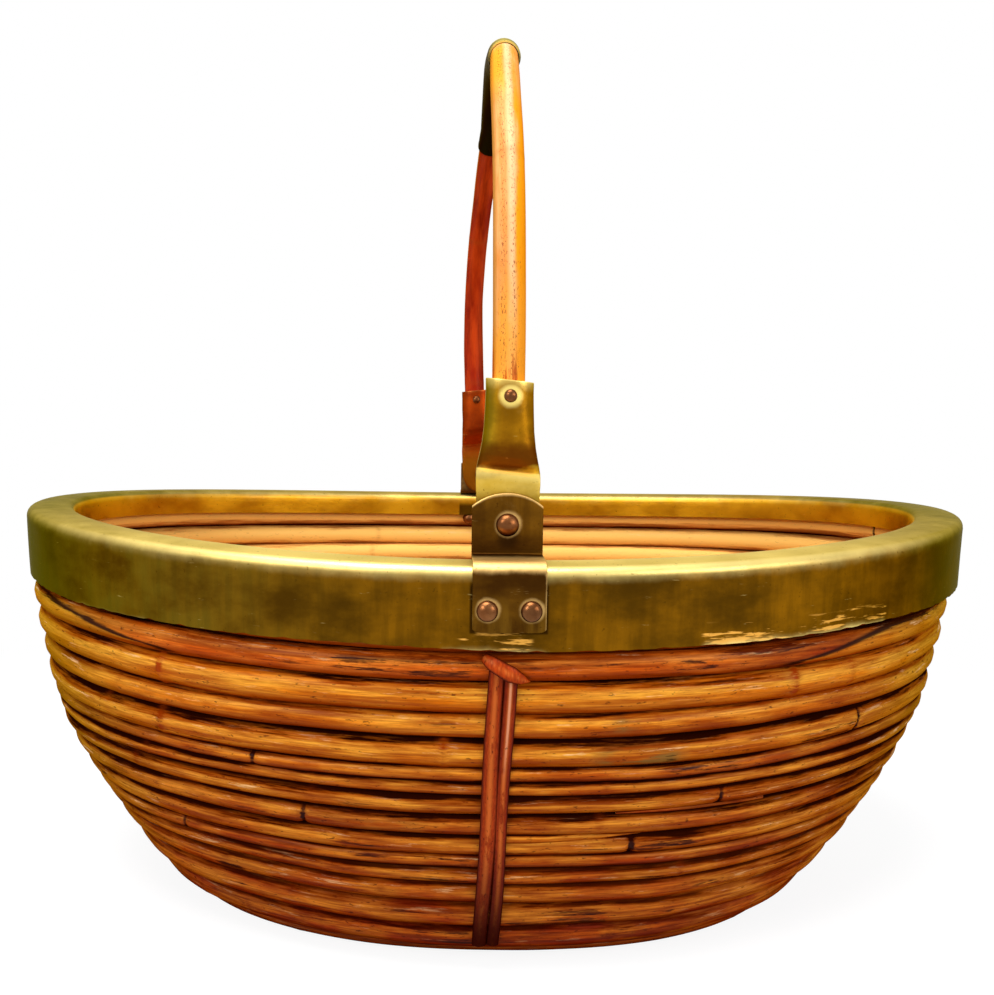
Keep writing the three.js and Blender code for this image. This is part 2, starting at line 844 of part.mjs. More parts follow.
for (const [side, turn] of [['front', 0], ['back', Math.PI]]) {
  const turned = (geometry) => geometry.rotateZ(turn);
  const burrFace = earOuterFace - strapSheet - tongueSheet - 3 * seat;
  addPiece(basket, `${side}_bracket`, turned(bracketSolid()), brassPaint);
  for (const [hand, x] of [['left', -rimRivetSpacing / 2], ['right', rimRivetSpacing / 2]]) {
    const rivet = rivetSolid(rimShank, rimHead, rimGrip);
    pointOut(rivet, x, bandFace + 2 * seat + strapSheet, rimRivetHeight);
    addPiece(basket, `${side}_rim_rivet_${hand}`, turned(rivet), rivetPaint);
    const burr = pointOut(burrSolid(rimShank), x, wallInnerFace - seat - burrSheet, rimRivetHeight);
    addPiece(basket, `${side}_rim_burr_${hand}`, turned(burr), rivetPaint);
    const strip = stripSolid(hand === 'left' ? -1 : 1);
    addPiece(basket, `${side}_strip_${hand}`, turned(strip), stripPaint);
  }
  addPiece(basket, `${side}_strip_knot`, turned(knotSolid()), stripPaint);

  const pivot = rivetSolid(pivotShank, pivotHead, pivotGrip);
  pointOut(pivot, 0, earOuterFace + seat, pivotZ);
  addPiece(basket, `${side}_pivot_rivet`, turned(pivot), rivetPaint);
  const pivotBurr = pointOut(burrSolid(pivotShank), 0, burrFace - burrSheet, pivotZ);
  addPiece(basket, `${side}_pivot_burr`, turned(pivotBurr), rivetPaint);

  const ferrule = ferruleSolid().translate(0, -legOffset, pivotZ);
  addPiece(handle, `${side}_ferrule`, turned(ferrule), brassPaint);
  const smallRivet = rivetSolid(ferruleShank, ferruleHead, ferruleGrip);
  const rivetFace = legOffset + socketTopDepth / 2 + seat;
  pointOut(smallRivet, 0, rivetFace, pivotZ + ferruleRivetAbovePivot);
  addPiece(handle, `${side}_ferrule_rivet`, turned(smallRivet), rivetPaint);
}

const assembly = new THREE.Group();
assembly.add(basket, handle);

export default assembly;
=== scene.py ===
# %% [markdown]
# # An oval cane basket with a brass rim
#
# The basket is built of thick varnished canes, laid one on the other in oval
# rows and nailed together. A folded brass band caps the rim, two brass brackets
# carry the hinges, and a bent cane handle swings between them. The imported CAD
# model fixes every size and place, and this lesson dresses it piece by piece.

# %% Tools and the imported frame
import math

import bmesh
import bpy
import numpy as np
from mathutils import Matrix, Vector


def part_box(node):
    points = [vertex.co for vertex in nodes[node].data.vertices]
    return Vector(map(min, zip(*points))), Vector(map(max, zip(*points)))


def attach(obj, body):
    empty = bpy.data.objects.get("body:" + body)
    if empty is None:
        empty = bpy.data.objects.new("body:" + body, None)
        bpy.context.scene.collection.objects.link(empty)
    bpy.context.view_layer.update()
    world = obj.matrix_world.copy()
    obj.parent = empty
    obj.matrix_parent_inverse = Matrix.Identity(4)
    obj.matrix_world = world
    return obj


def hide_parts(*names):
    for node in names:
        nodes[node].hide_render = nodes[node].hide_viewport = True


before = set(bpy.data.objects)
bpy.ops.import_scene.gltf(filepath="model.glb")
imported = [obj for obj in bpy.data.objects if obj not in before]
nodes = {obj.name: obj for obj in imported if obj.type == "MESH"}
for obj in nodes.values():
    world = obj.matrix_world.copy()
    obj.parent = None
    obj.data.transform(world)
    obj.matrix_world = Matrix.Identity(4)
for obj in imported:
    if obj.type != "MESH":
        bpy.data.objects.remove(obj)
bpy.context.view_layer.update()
print("CAD nodes:", len(nodes))

# %% [markdown]
# ## The camera
#
# The photograph was taken from just in front of the basket, a little above the
# rim and left of its middle. A camera can be aimed by hand, or its place can be
# worked out from points that are known both on the object and in the picture.
# The second way was used here, so the numbers are not round. The picture is
# cropped off its centre, which is what the small sideways shift stands for.

# %% Camera
PICTURE_WIDTH, PICTURE_HEIGHT = 994, 995
FOCAL_PIXELS, CENTRE_PIXEL = 1091.57, 447.0
CAMERA_PLACE = Vector((-0.02355, -0.55966, 0.23385))
YAW, PITCH, ROLL = 0.0016, 0.0844, 0.0105

forward = Vector((math.sin(YAW) * math.cos(PITCH), math.cos(YAW) * math.cos(PITCH), -math.sin(PITCH)))
level = Vector((math.cos(YAW), -math.sin(YAW), 0))
upright = level.cross(forward)
picture_right = math.cos(ROLL) * level + math.sin(ROLL) * upright
picture_up = math.cos(ROLL) * upright - math.sin(ROLL) * level

lens = bpy.data.cameras.new("camera")
lens.sensor_fit = "VERTICAL"
lens.sensor_height = 36.0
lens.lens = FOCAL_PIXELS / PICTURE_HEIGHT * lens.sensor_height
lens.shift_x = (PICTURE_WIDTH / 2 - CENTRE_PIXEL) / PICTURE_HEIGHT
lens.clip_start = 0.01
camera = bpy.data.objects.new("camera", lens)
bpy.context.scene.collection.objects.link(camera)
turn = Matrix((picture_right, picture_up, -forward)).transposed().to_4x4()
camera.matrix_world = Matrix.Translation(CAMERA_PLACE) @ turn
bpy.context.scene.camera = camera
print("Focal length, mm:", round(lens.lens, 1))

# %% [markdown]
# ## Reckoning with nodes
#
# A finish is a long sum of noises and ramps. Wired by hand it takes a page for
# every line of thought, so a small class lets a socket be added and multiplied
# like a number, and each step lays one maths node. Colours are written in the
# usual 0 to 255 steps, and coats are laid over one another like paint.

# %% Node helpers


class Signal:
    """What a socket gives out; reckoning with it adds maths nodes to its tree."""

    def __init__(self, tree, socket):
        self.tree, self.socket = tree, socket

    def __add__(self, other):
        return maths("ADD", self, other)

    def __sub__(self, other):
        return maths("SUBTRACT", self, other)

    def __rsub__(self, other):
        return maths("SUBTRACT", other, self)

    def __mul__(self, other):
        return maths("MULTIPLY", self, other)

    def __truediv__(self, other):
        return maths("DIVIDE", self, other)

    def __abs__(self):
        return maths("ABSOLUTE", self)


def signals(tree, sockets):
    return {socket.name: Signal(tree, socket) for socket in sockets}


def node(tree, kind, feeds=None, give=0, **settings):
    """Adds a node, sets it up, feeds it, and gives one of its outputs, or all of them for None."""
    made = tree.nodes.new(kind)
    for name, value in settings.items():
        setattr(made, name, value)
    for key, value in (feeds or {}).items():
        if isinstance(value, Signal):
            tree.links.new(value.socket, made.inputs[key])
        else:
            made.inputs[key].default_value = value
    if give is None:
        return signals(tree, made.outputs)
    return Signal(tree, made.outputs[give]) if len(made.outputs) else None


def tree_of(values):
    return next(value.tree for value in values if isinstance(value, Signal))


def maths(operation, *values, clamp=False):
    feeds = dict(enumerate(values))
    return node(tree_of(values), "ShaderNodeMath", feeds, operation=operation, use_clamp=clamp)


def largest(first, second):
    return maths("MAXIMUM", first, second)


def vectors(operation, *values, **more):
    give = "Value" if operation in ("DOT_PRODUCT", "LENGTH", "DISTANCE") else "Vector"
    feeds = {**dict(enumerate(values)), **more}
    return node(tree_of(values), "ShaderNodeVectorMath", feeds, give, operation=operation)


def split(place):
    """The X, Y and Z of a place."""
    return tuple(node(place.tree, "ShaderNodeSeparateXYZ", {0: place}, None).values())


def join(tree, x=0.0, y=0.0, z=0.0):
    return node(tree, "ShaderNodeCombineXYZ", {0: x, 1: y, 2: z})


def ramp(value, low, high, start=0.0, end=1.0):
    """Carries low..high smoothly to start..end."""
    feeds = {"Value": value, "From Min": low, "From Max": high, "To Min": start, "To Max": end}
    return node(value.tree, "ShaderNodeMapRange", feeds, "Result", interpolation_type="SMOOTHSTEP")


def noise(place, scale, detail, rough=0.5, stretch=None, give="Fac"):
    """Noise of about 0.5, drawn out along the axes whose stretch is small."""
    if stretch:
        place = vectors("MULTIPLY", place, stretch)
    feeds = {"Vector": place, "Scale": scale, "Detail": detail, "Roughness": rough}
    return node(place.tree, "ShaderNodeTexNoise", feeds, give)


def tint(red, green, blue):
    """A colour in steps of 0 to 255, as Blender's linear values."""
    def linear(step):
        share = step / 255
        return share / 12.92 if share <= 0.04045 else ((share + 0.055) / 1.055) ** 2.4
    return linear(red), linear(green), linear(blue), 1.0


def mix(share, first, second):
    first, second = (value if isinstance(value, Signal) else tint(*value) for value in (first, second))
    feeds = {0: share, 6: first, 7: second}
    return node(tree_of(feeds.values()), "ShaderNodeMix", feeds, 2, data_type="RGBA")


def coats(tone, *layers):
    """Lays coats over a tone one after the other; each is how much it covers and its colour."""
    for share, colour in layers:
        tone = mix(share, tone, colour)
    return tone


# %% [markdown]
# ## Stage
#
# A plain pale floor shows the colours about as they are written. The white of
# the picture comes from the floor and the world as the camera sees them, not
# from more light, and the floor keeps a faint shadow near the basket.

# %% World and floor
WORLD_LEVEL, NEAR_GLOW = 0.38, 0.88
FLOOR_HALF, SHADOW_NEAR, SHADOW_FAR = 6, 0.26, 0.62
WHITE = (1, 1, 1, 1)
scene = bpy.context.scene
scene.view_settings.view_transform = "Standard"
world = bpy.data.worlds.new("studio")
world.use_nodes = True
scene.world = world
air = world.node_tree
air.nodes.clear()
rays = node(air, "ShaderNodeLightPath", give=None)
seen = largest(largest(rays["Is Camera Ray"], rays["Is Transmission Ray"]), rays["Is Glossy Ray"])
strength = seen * (1 - WORLD_LEVEL) + WORLD_LEVEL
sky = node(air, "ShaderNodeBackground", {"Color": WHITE, "Strength": strength})
node(air, "ShaderNodeOutputWorld", {"Surface": sky})

floor_mesh = bpy.data.meshes.new("floor")
corners = [(x * FLOOR_HALF, y * FLOOR_HALF, 0) for x, y in ((-1, -1), (1, -1), (1, 1), (-1, 1))]
floor_mesh.from_pydata(corners, [], [(0, 1, 2, 3)])
floor = bpy.data.objects.new("floor", floor_mesh)
scene.collection.objects.link(floor)


def new_finish(name):
    finish = bpy.data.materials.new(name)
    finish.use_nodes = True
    finish.node_tree.nodes.clear()
    return finish, finish.node_tree


def object_place(tree):
    return node(tree, "ShaderNodeTexCoord", give="Object")


floor_paint, tree = new_finish("pale_floor")
rays = node(tree, "ShaderNodeLightPath", give=None)
matt = node(tree, "ShaderNodeBsdfDiffuse", {"Color": (0.2, 0.2, 0.2, 1)})
glow = node(tree, "ShaderNodeEmission", {"Color": WHITE, "Strength": NEAR_GLOW})
near = node(tree, "ShaderNodeAddShader", {0: matt, 1: glow})
white = node(tree, "ShaderNodeEmission", {"Color": WHITE, "Strength": 1.0})
away = ramp(vectors("LENGTH", object_place(tree)), SHADOW_NEAR, SHADOW_FAR)
pale = node(tree, "ShaderNodeMixShader", {0: away, 1: near, 2: white})
dull = node(tree, "ShaderNodeBsdfDiffuse", {"Color": (0.42, 0.4, 0.37, 1)})
shows = largest(rays["Is Camera Ray"], rays["Is Glossy Ray"])
mixed = node(tree, "ShaderNodeMixShader", {0: shows, 1: dull, 2: pale})
node(tree, "ShaderNodeOutputMaterial", {"Surface": mixed})
floor_mesh.materials.append(floor_paint)

# %% [markdown]
# ## Light
#
# Three soft round lamps: one overhead, and one lower at each side in front. Hard
# lamps would draw sharp glints on varnish and brass; these leave broad, quiet
# lights.

# %% Lamps
for name, place, target, size, power in (
    ("sky_lamp", (-0.25, -0.45, 1.5), (0, 0, 0.1), 1.0, 24),
    ("window_lamp", (-1.1, -1.3, 1.0), (0, 0, 0.12), 0.7, 11),
    ("door_lamp", (1.2, -1.25, 0.75), (0.05, 0, 0.1), 0.9, 11),
):
    lamp = bpy.data.lights.new(name, "AREA")
    lamp.shape, lamp.size, lamp.energy = "DISK", size, power
    holder = bpy.data.objects.new(name, lamp)
    holder.location = place
    holder.rotation_euler = (Vector(target) - Vector(place)).to_track_quat("-Z", "Y").to_euler()
    scene.collection.objects.link(holder)
print("Stage ready")

# %% [markdown]
# ## Measuring the rows
#
# Every hoop of cane in the CAD model is an oval of straight runs with a
# six-sided section. Where it crosses the middle of the front and the middle of
# an end, its section gives the centre and the thickness of the real, round
# cane. Between those places a smooth oval rises and swells from one to the other.

# %% Hoop sections
CORNER_REACH = math.hypot(0.5, 1.0)
PAST_RIVETS = 0.0105
ROWS = [f"wall_hoop_{i:02d}" for i in range(1, 17)]
CORES = ["rim_core_outer", "rim_core_inner"]
BASE_HOOPS = [f"base_hoop_{i}" for i in range(1, 9)]


def ring_section(points, along, beyond, depth):
    """The middle and the radius of the ring of corners that comes first past a line."""
    ahead = points[(points[:, along] > beyond) & (points[:, 1 - along] * (-1) ** along < 0)]
    ring = ahead[ahead[:, along] < ahead[:, along].min() + depth][:, [1 - along, 2]]
    middle = (ring.min(0) + ring.max(0)) / 2
    return abs(middle[0]), middle[1], np.linalg.norm(ring - middle, axis=1).max() / CORNER_REACH


def hoop_sizes(name):
    points = np.array([v.co[:] for v in nodes[name].data.vertices])
    half_width, side_height, side_radius = ring_section(points, 0, PAST_RIVETS, 0.0025)
    end_depth = max(0.0018, 0.03 * points[:, 1].max())
    half_length, end_height, end_radius = ring_section(points, 1, 0, end_depth)
    return {
        "half_length": half_length, "half_width": half_width, "corner": 1.0,
        "side_height": side_height, "end_height": end_height,
        "side_radius": side_radius, "end_radius": max(end_radius, side_radius),
    }


hoops = {name: hoop_sizes(name) for name in ROWS + CORES + BASE_HOOPS}
for name, size in hoops.items():
    print(name, [round(value * 1000, 1) for key, value in size.items() if key != "corner"])

# %% [markdown]
# ## The line of each row
#
# A row follows an oval: an ellipse in the wall, and straight sides with round
# ends in the base. Its height and thickness pass from the side to the end with
# the square of the cosine, which is level at both. Canes lie hard on each other,
# so each one is drawn a touch fuller than its CAD section, more so at the ends,
# where the rows spread.

# %% Ovals
LINE_STEPS = 240
BASE_ROUNDNESS, BASE_RIGHT_IN = 0.6, 0.0056
# The old basket is not quite even: its rows bulge on the left and draw in on the right, in mm
LEFT_OUT = [0, 0, 2, 2, 2.2, 2.2, 2.4, 3, 3.2, 2.6, 1.8, 1, 0.5, 0, 0, 0]
RIGHT_IN = [0, 0, 1, 1.6, 1.6, 1.2, 1, 1, 1.6, 2.2, 3, 3.8, 4.4, 5, 5.4, 5.6]


def oval_line(size, turns):
    """Points, radii and the share of the way from the side to the end, for angles round the oval."""
    cosine, sine = np.cos(turns), np.sin(turns)
    share = cosine ** 2
    straight = size["half_length"] - size["half_width"]
    along = straight * np.sign(cosine) * np.abs(cosine) ** size["corner"] + size["half_width"] * cosine
    along -= np.where(cosine > 0, size.get("right_in", 0), size.get("left_out", 0)) * share
    height = size["side_height"] + (size["end_height"] - size["side_height"]) * share
    points = np.stack([along, size["half_width"] * sine, height], axis=1)
    radius = size["side_radius"] + (size["end_radius"] - size["side_radius"]) * share
    return points, radius, share


base_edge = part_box("base_hoop_1")[1][1]
for name in BASE_HOOPS:
    size, (_, high) = hoops[name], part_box(name)
    size["corner"] = BASE_ROUNDNESS * high[1] / base_edge
    size["end_radius"] = size["side_radius"]
    size["half_length"] = high[0] - size["end_radius"]
for name, left_out, right_in in zip(ROWS, LEFT_OUT, RIGHT_IN):
    hoops[name].update(left_out=left_out / 1000, right_in=right_in / 1000)
for name in BASE_HOOPS:
    hoops[name]["right_in"] = BASE_RIGHT_IN * hoops[name]["half_length"] / hoops["base_hoop_1"]["half_length"]

order = [CORES[0]] + ROWS + BASE_HOOPS
for above, below in zip(order, order[1:]):
    upper, lower = hoops[above], hoops[below]
    for place, reach in (("side", "half_width"), ("end", "half_length")):
        out = upper[reach] - lower[reach]
        drop = upper[f"{place}_height"] - lower[f"{place}_height"]
        lower[f"{place}_gap"] = math.hypot(out, drop) - upper[f"{place}_radius"] - lower[f"{place}_radius"]
        lower[f"{place}_lean"] = math.atan2(out, drop)
for name in CORES:
    hoops[name].update(side_gap=0, end_gap=0, side_lean=0, end_lean=0)
print("Widest gap between rows, mm:", round(1000 * max(h["end_gap"] for h in hoops.values()), 2))

# %% [markdown]
# ## A cane, as a node tree
#
# Rattan cane is a round vine stem: nearly even in thickness, a little wavy, with
# a raised ring where each leaf grew. One Geometry Nodes tree makes every cane of
# the basket from a plain line, so its sizes are named inputs. The tree also
# writes where each point lies along and around the cane, which the finish needs.

# %% The cane tree
CANE_INPUTS = [
    ("Line", "NodeSocketGeometry", None), ("Fullness", "NodeSocketFloat", 1.0),
    ("Waviness", "NodeSocketFloat", 0.0006), ("Sway", "NodeSocketFloat", 0.0),
    ("Unevenness", "NodeSocketFloat", 0.1), ("Ring Height", "NodeSocketFloat", 0.00035),
    ("Joint Pinch", "NodeSocketFloat", 0.16), ("Level Axis", "NodeSocketVector", (0, 0, 1)),
    ("Sides", "NodeSocketInt", 16), ("Age", "NodeSocketFloat", 0.3),
    ("Seed", "NodeSocketFloat", 0.0), ("Finish", "NodeSocketMaterial", None),
]
SPOT_MARKS = ("ring", "joint", "stain", "worn")


def new_tree(name, kind, inputs, outputs):
    """A node group with named sockets: the tree, its inputs as signals, and its output node."""
    tree = bpy.data.node_groups.new(name, kind)
    for title, socket_kind, value in inputs:
        socket = tree.interface.new_socket(name=title, in_out="INPUT", socket_type=socket_kind)
        if value is not None:
            socket.default_value = value
    for title, socket_kind in outputs:
        tree.interface.new_socket(name=title, in_out="OUTPUT", socket_type=socket_kind)
    given, result = tree.nodes.new("NodeGroupInput"), tree.nodes.new("NodeGroupOutput")
    return tree, signals(tree, given.outputs), result


def named(tree, name):
    return node(tree, "GeometryNodeInputNamedAttribute", {"Name": name}, data_type="FLOAT")


def dress_and_give(solid, finish, result):
    """Puts the finish on a solid and hands it out of the tree."""
    solid = node(solid.tree, "GeometryNodeSetMaterial", {"Geometry": solid, "Material": finish})
    solid.tree.links.new(solid.socket, result.inputs[0])


def capture(line, fields):
    """Keeps fields on a geometry, and gives the geometry and the kept fields."""
    tree = line.tree
    keeper = tree.nodes.new("GeometryNodeCaptureAttribute")
    tree.links.new(line.socket, keeper.inputs[0])
    kinds = {"VALUE": "FLOAT", "VECTOR": "VECTOR"}
    for title, field in fields.items():
        keeper.capture_items.new(kinds[field.socket.type], title)
        tree.links.new(field.socket, keeper.inputs[title])
    return Signal(tree, keeper.outputs[0]), {title: Signal(tree, keeper.outputs[title]) for title in fields}


def drift(place, scale, detail, amount):
    """A smooth wandering of up to about the given amount each way."""
    offset = vectors("SUBTRACT", noise(place, scale, detail, give="Color"), (0.5, 0.5, 0.5))
    return vectors("SCALE", offset, Scale=amount * 4.0)


def build_cane_tree():
    tree, ask, result = new_tree("cane along a line", "GeometryNodeTree", CANE_INPUTS,
                                 [("Cane", "NodeSocketGeometry")])
    line = node(tree, "GeometryNodeMeshToCurve", {0: ask["Line"]})
    place = node(tree, "GeometryNodeInputPosition")
    around = vectors("ADD", place, join(tree, z=ask["Seed"]))
    x, _, z = split(place)
    sway = ask["Sway"] * ramp(abs(x), 0.02, 0.07) * ramp(z, 0.09, 0.14, 1.0, 0.0)
    offset = vectors("ADD", drift(around, 11.0, 1.5, ask["Waviness"]), drift(place, 6.0, 1.0, sway))
    line = node(tree, "GeometryNodeSetPosition", {"Geometry": line, "Offset": offset})

    marks = {name: named(tree, name) for name in ("thickness", "lean", "run") + SPOT_MARKS}
    tangent = node(tree, "GeometryNodeInputTangent")
    outward = vectors("NORMALIZE", vectors("CROSS_PRODUCT", tangent, ask["Level Axis"]))
    swell = (noise(around, 23.0, 2.0) - 0.5) * ask["Unevenness"]
    radius = marks["thickness"] * (ask["Fullness"] + swell) + marks["ring"] * ask["Ring Height"]
    radius = radius * (1.0 - marks["joint"] * ask["Joint Pinch"])
    line, kept = capture(line, {"centre": place, "outward": outward, "radius": radius, **marks})

    loop = node(tree, "GeometryNodeCurvePrimitiveCircle", {"Resolution": ask["Sides"], "Radius": 1.0})
    solid = node(tree, "GeometryNodeCurveToMesh", {
        "Curve": line, "Profile Curve": loop, "Scale": kept["radius"], "Fill Caps": True,
    })
    offset = vectors("SUBTRACT", place, kept["centre"])
    across = vectors("DOT_PRODUCT", offset, kept["outward"])
    level = vectors("DOT_PRODUCT", offset, ask["Level Axis"])
    cosine, sine = maths("COSINE", kept["lean"]), maths("SINE", kept["lean"])
    out = across * cosine - level * sine
    up = level * cosine + across * sine
    stored = {"place": join(tree, kept["run"], out, up), "up": up / kept["radius"], "out": out / kept["radius"]}
    stored.update({name: kept[name] for name in SPOT_MARKS}, age=ask["Age"], seed=ask["Seed"])
    for name, field in stored.items():
        kind = "FLOAT_VECTOR" if name == "place" else "FLOAT"
        feeds = {"Geometry": solid, "Name": f"cane_{name}", "Value": field}
        solid = node(tree, "GeometryNodeStoreNamedAttribute", feeds, data_type=kind, domain="POINT")
    dress_and_give(solid, ask["Finish"], result)
    return tree


cane_tree = build_cane_tree()
print("Cane tree nodes:", len(cane_tree.nodes))

# %% [markdown]
# ## Growing a cane on its line
#
# A real cane has its rings, joints and stains at certain places along its
# length. The line that a cane grows on carries them as values at its points, and
# it gets extra points near each ring and joint, so that these keep their shape.

# %% Lines and growing
NEAR_RING = np.array([-40, -22, -11, 0, 11, 22, 40]) * 1e-4
NEAR_JOINT = np.array([-30, -13, -8, -4, 0, 4, 8, 13, 30]) * 1e-4
CLOSEST_POINTS, RING_WIDTH, JOINT_WIDTH, PATCH_EDGE = 2e-4, 0.0017, 0.0015, 0.006


def add_marks(mesh, marks):
    for name, values in marks.items():
        layer = mesh.attributes.new(name, "FLOAT", "POINT")
        layer.data.foreach_set("value", np.asarray(values, np.float32))


def lengths_along(points):
    return np.concatenate([[0], np.cumsum(np.linalg.norm(np.diff(points, axis=0), axis=1))])


def grow(name, tree, mesh, values):
    """Runs a tree on a mesh and keeps the result as a plain mesh."""
    piece = bpy.data.objects.new(name, mesh)
    scene.collection.objects.link(piece)
    build = piece.modifiers.new("build", "NODES")
    build.node_group = tree
    for item in tree.interface.items_tree:
        if item.in_out == "INPUT" and item.name in values:
            build[item.identifier] = values[item.name]
    graph = bpy.context.evaluated_depsgraph_get()
    made = bpy.data.meshes.new_from_object(piece.evaluated_get(graph), preserve_all_data_layers=True,
                                           depsgraph=graph)
    piece.modifiers.remove(build)
    piece.data = made
    made.name = name
    made.shade_smooth()
    made.set_sharp_from_angle(angle=math.radians(50))
    return piece


def hand_over(piece, replaced, body):
    """Hides the CAD nodes that a piece stands for and hangs the piece on the body it rides on."""
    if replaced:
        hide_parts(*replaced)
    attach(piece, body)
    return piece


def line_mesh(points, radius, lean, steps=280, rings=(), joints=(), stains=(), worn=()):
    """A chain of edges with a thickness, a lean and marks. Places of marks are lengths along the line."""
    points = np.array(points, float)
    run = lengths_along(points)
    spots = [np.linspace(0, run[-1], steps)]
    spots += [at + NEAR_RING for at, _ in rings] + [at + NEAR_JOINT for at in joints]
    spots = np.unique(np.concatenate(spots).clip(0, run[-1]).round(5))
    spots = spots[np.concatenate([[True], np.diff(spots) > CLOSEST_POINTS])]
    marks = {"thickness": np.interp(spots, run, np.broadcast_to(radius, len(run))),
             "lean": np.interp(spots, run, np.broadcast_to(lean, len(run))), "run": spots}
    marks.update({name: np.zeros(len(spots)) for name in SPOT_MARKS})
    for at, strength in rings:
        marks["ring"] = np.maximum(marks["ring"], strength * np.exp(-((spots - at) / RING_WIDTH) ** 2))
    for at in joints:
        marks["joint"] = np.maximum(marks["joint"], (1.3 - np.abs(spots - at) / JOINT_WIDTH).clip(0, 1))
    for name, patches in (("stain", stains), ("worn", worn)):
        for first, last, strength in patches:
            inside = (np.minimum(spots - first, last - spots) / PATCH_EDGE + 0.5).clip(0, 1)
            marks[name] = np.maximum(marks[name], strength * inside)
    mesh = bpy.data.meshes.new("line")
    places = np.stack([np.interp(spots, run, points[:, c]) for c in range(3)], axis=1)
    mesh.from_pydata([tuple(p) for p in places], [(i, i + 1) for i in range(len(places) - 1)], [])
    add_marks(mesh, marks)
    return mesh


# %% [markdown]
# ## Shared effects
#
# Fibres, streaks, blotches and scuffs on cane, and clouds, smears, pits and
# scratches on brass, are all noises, most of them drawn out one way. One function
# builds both groups from a table, so a finish only has to say how much of each
# effect it wants.

# %% Effect groups
# For each effect: stretch, scale, detail, roughness, and the span of noise that is carried to 0..1
FIBRE = {
    "Fibre": ((0.05, 1, 1), 1500, 4, 0.68, 0.36, 0.64), "Streaks": ((0.05, 1, 1), 480, 4, 0.6, 0.42, 0.66),
    "Blotch": ((0.3, 1, 1), 110, 4, 0.55, 0.32, 0.68), "Specks": ((0.3, 1, 1), 900, 2, 0.7, 0.62, 0.72),
    "Scuffs": ((0.1, 1, 1), 420, 5, 0.7, 0.58, 0.7), "Stains": ((0.08, 1, 1), 260, 5, 0.7, 0.42, 0.7),
}
PATINA = {
    "Shine": ((1, 1, 1), 95, 4, 0.65, 0.1, 0.95), "Clouds": ((1, 1, 1.6), 26, 5, 0.6, 0.3, 0.7),
    "Smears": ((1, 1, 0.12), 210, 4, 0.6, 0.35, 0.68), "Pits": ((1, 1, 1), 620, 2, 0.6, 0.66, 0.76),
    "Scratches": ((0.12, 0.12, 1), 900, 3, 0.7, 0.68, 0.76),
}


def effect_group(name, inputs, table, relief):
    """A node group of noises over a place; relief is how much two of them raise the surface."""
    tree, ask, result = new_tree(
        name, "ShaderNodeTree", [("Place", "NodeSocketVector", None)] + inputs,
        [(title, "NodeSocketFloat") for title in list(table) + ["Height"]])
    place = vectors("ADD", ask["Place"], join(tree, ask["Seed"])) if "Seed" in ask else ask["Place"]
    found = {title: noise(place, scale, detail, rough, stretch)
             for title, (stretch, scale, detail, rough, _, _) in table.items()}
    (much, first), (little, second) = relief
    height = found[first] * much + found[second] * little
    if "Rubbed" in ask:
        found["Shine"] = ask["Rubbed"] + (found["Shine"] - 0.5) * ask["Raggedness"]
    for title, value in found.items():
        tree.links.new(ramp(value, *table[title][4:]).socket, result.inputs[title])
    tree.links.new(height.socket, result.inputs["Height"])
    return tree


fibre_group = effect_group("cane fibre", [("Seed", "NodeSocketFloat", 0.0)], FIBRE,
                           ((0.6, "Fibre"), (0.4, "Scuffs")))
patina_group = effect_group("patina", [("Rubbed", "NodeSocketFloat", 0.0), ("Raggedness", "NodeSocketFloat", 0.5)],
                            PATINA, ((2.0, "Clouds"), (-0.2, "Pits")))
print("Effects:", ", ".join(list(FIBRE) + list(PATINA)))

# %% [markdown]
# ## The finish of the canes
#
# Old varnish over cane is golden orange. Shade is painted into the cracks between
# the rows and along the underside of each cane, and a pale highlight is painted
# along its top. Painting it on with an image would fix the pattern to one view. A
# node material grows it instead from the place along and around each cane, so
# fibres follow every bend.

# %% Cane finishes
FRESH, FRESH_PALE = (240, 130, 6), (255, 190, 66)


def mark(tree, name, give="Fac"):
    return node(tree, "ShaderNodeAttribute", give=give, attribute_name=name)


def fibre_effects(tree, place, seed):
    return node(tree, "ShaderNodeGroup", {"Place": place, "Seed": seed}, None, node_tree=fibre_group)


def cane_start(name):
    """An empty finish, its tree, the fibre effects, and the up, out, ring and seed of the cane."""
    finish, tree = new_finish(name)
    up, beside, ring, seed = (mark(tree, f"cane_{title}") for title in ("up", "out", "ring", "seed"))
    return finish, tree, fibre_effects(tree, mark(tree, "cane_place", "Vector"), seed), up, beside, ring, seed


def cane_skin(tone, effects, gloss, relief=0.35, dirt=0.0):
    """The varnished skin over a finished tone; it shines less edge on and where dirt lies."""
    tree = tone.tree
    bump = node(tree, "ShaderNodeBump", {"Strength": relief, "Distance": 0.0004, "Height": effects["Height"]})
    edge_on = node(tree, "ShaderNodeLayerWeight", give="Facing")
    skin = node(tree, "ShaderNodeBsdfPrincipled", {
        "Base Color": tone, "Roughness": effects["Scuffs"] * 0.2 + gloss, "Normal": bump,
        "Specular IOR Level": 0.0, "Coat Weight": ramp(edge_on, 0.25, 0.7, 0.2, 0.0) * (1.0 - dirt),
        "Coat Roughness": 0.36, "Coat IOR": 1.4,
    })
    node(tree, "ShaderNodeOutputMaterial", {"Surface": skin})


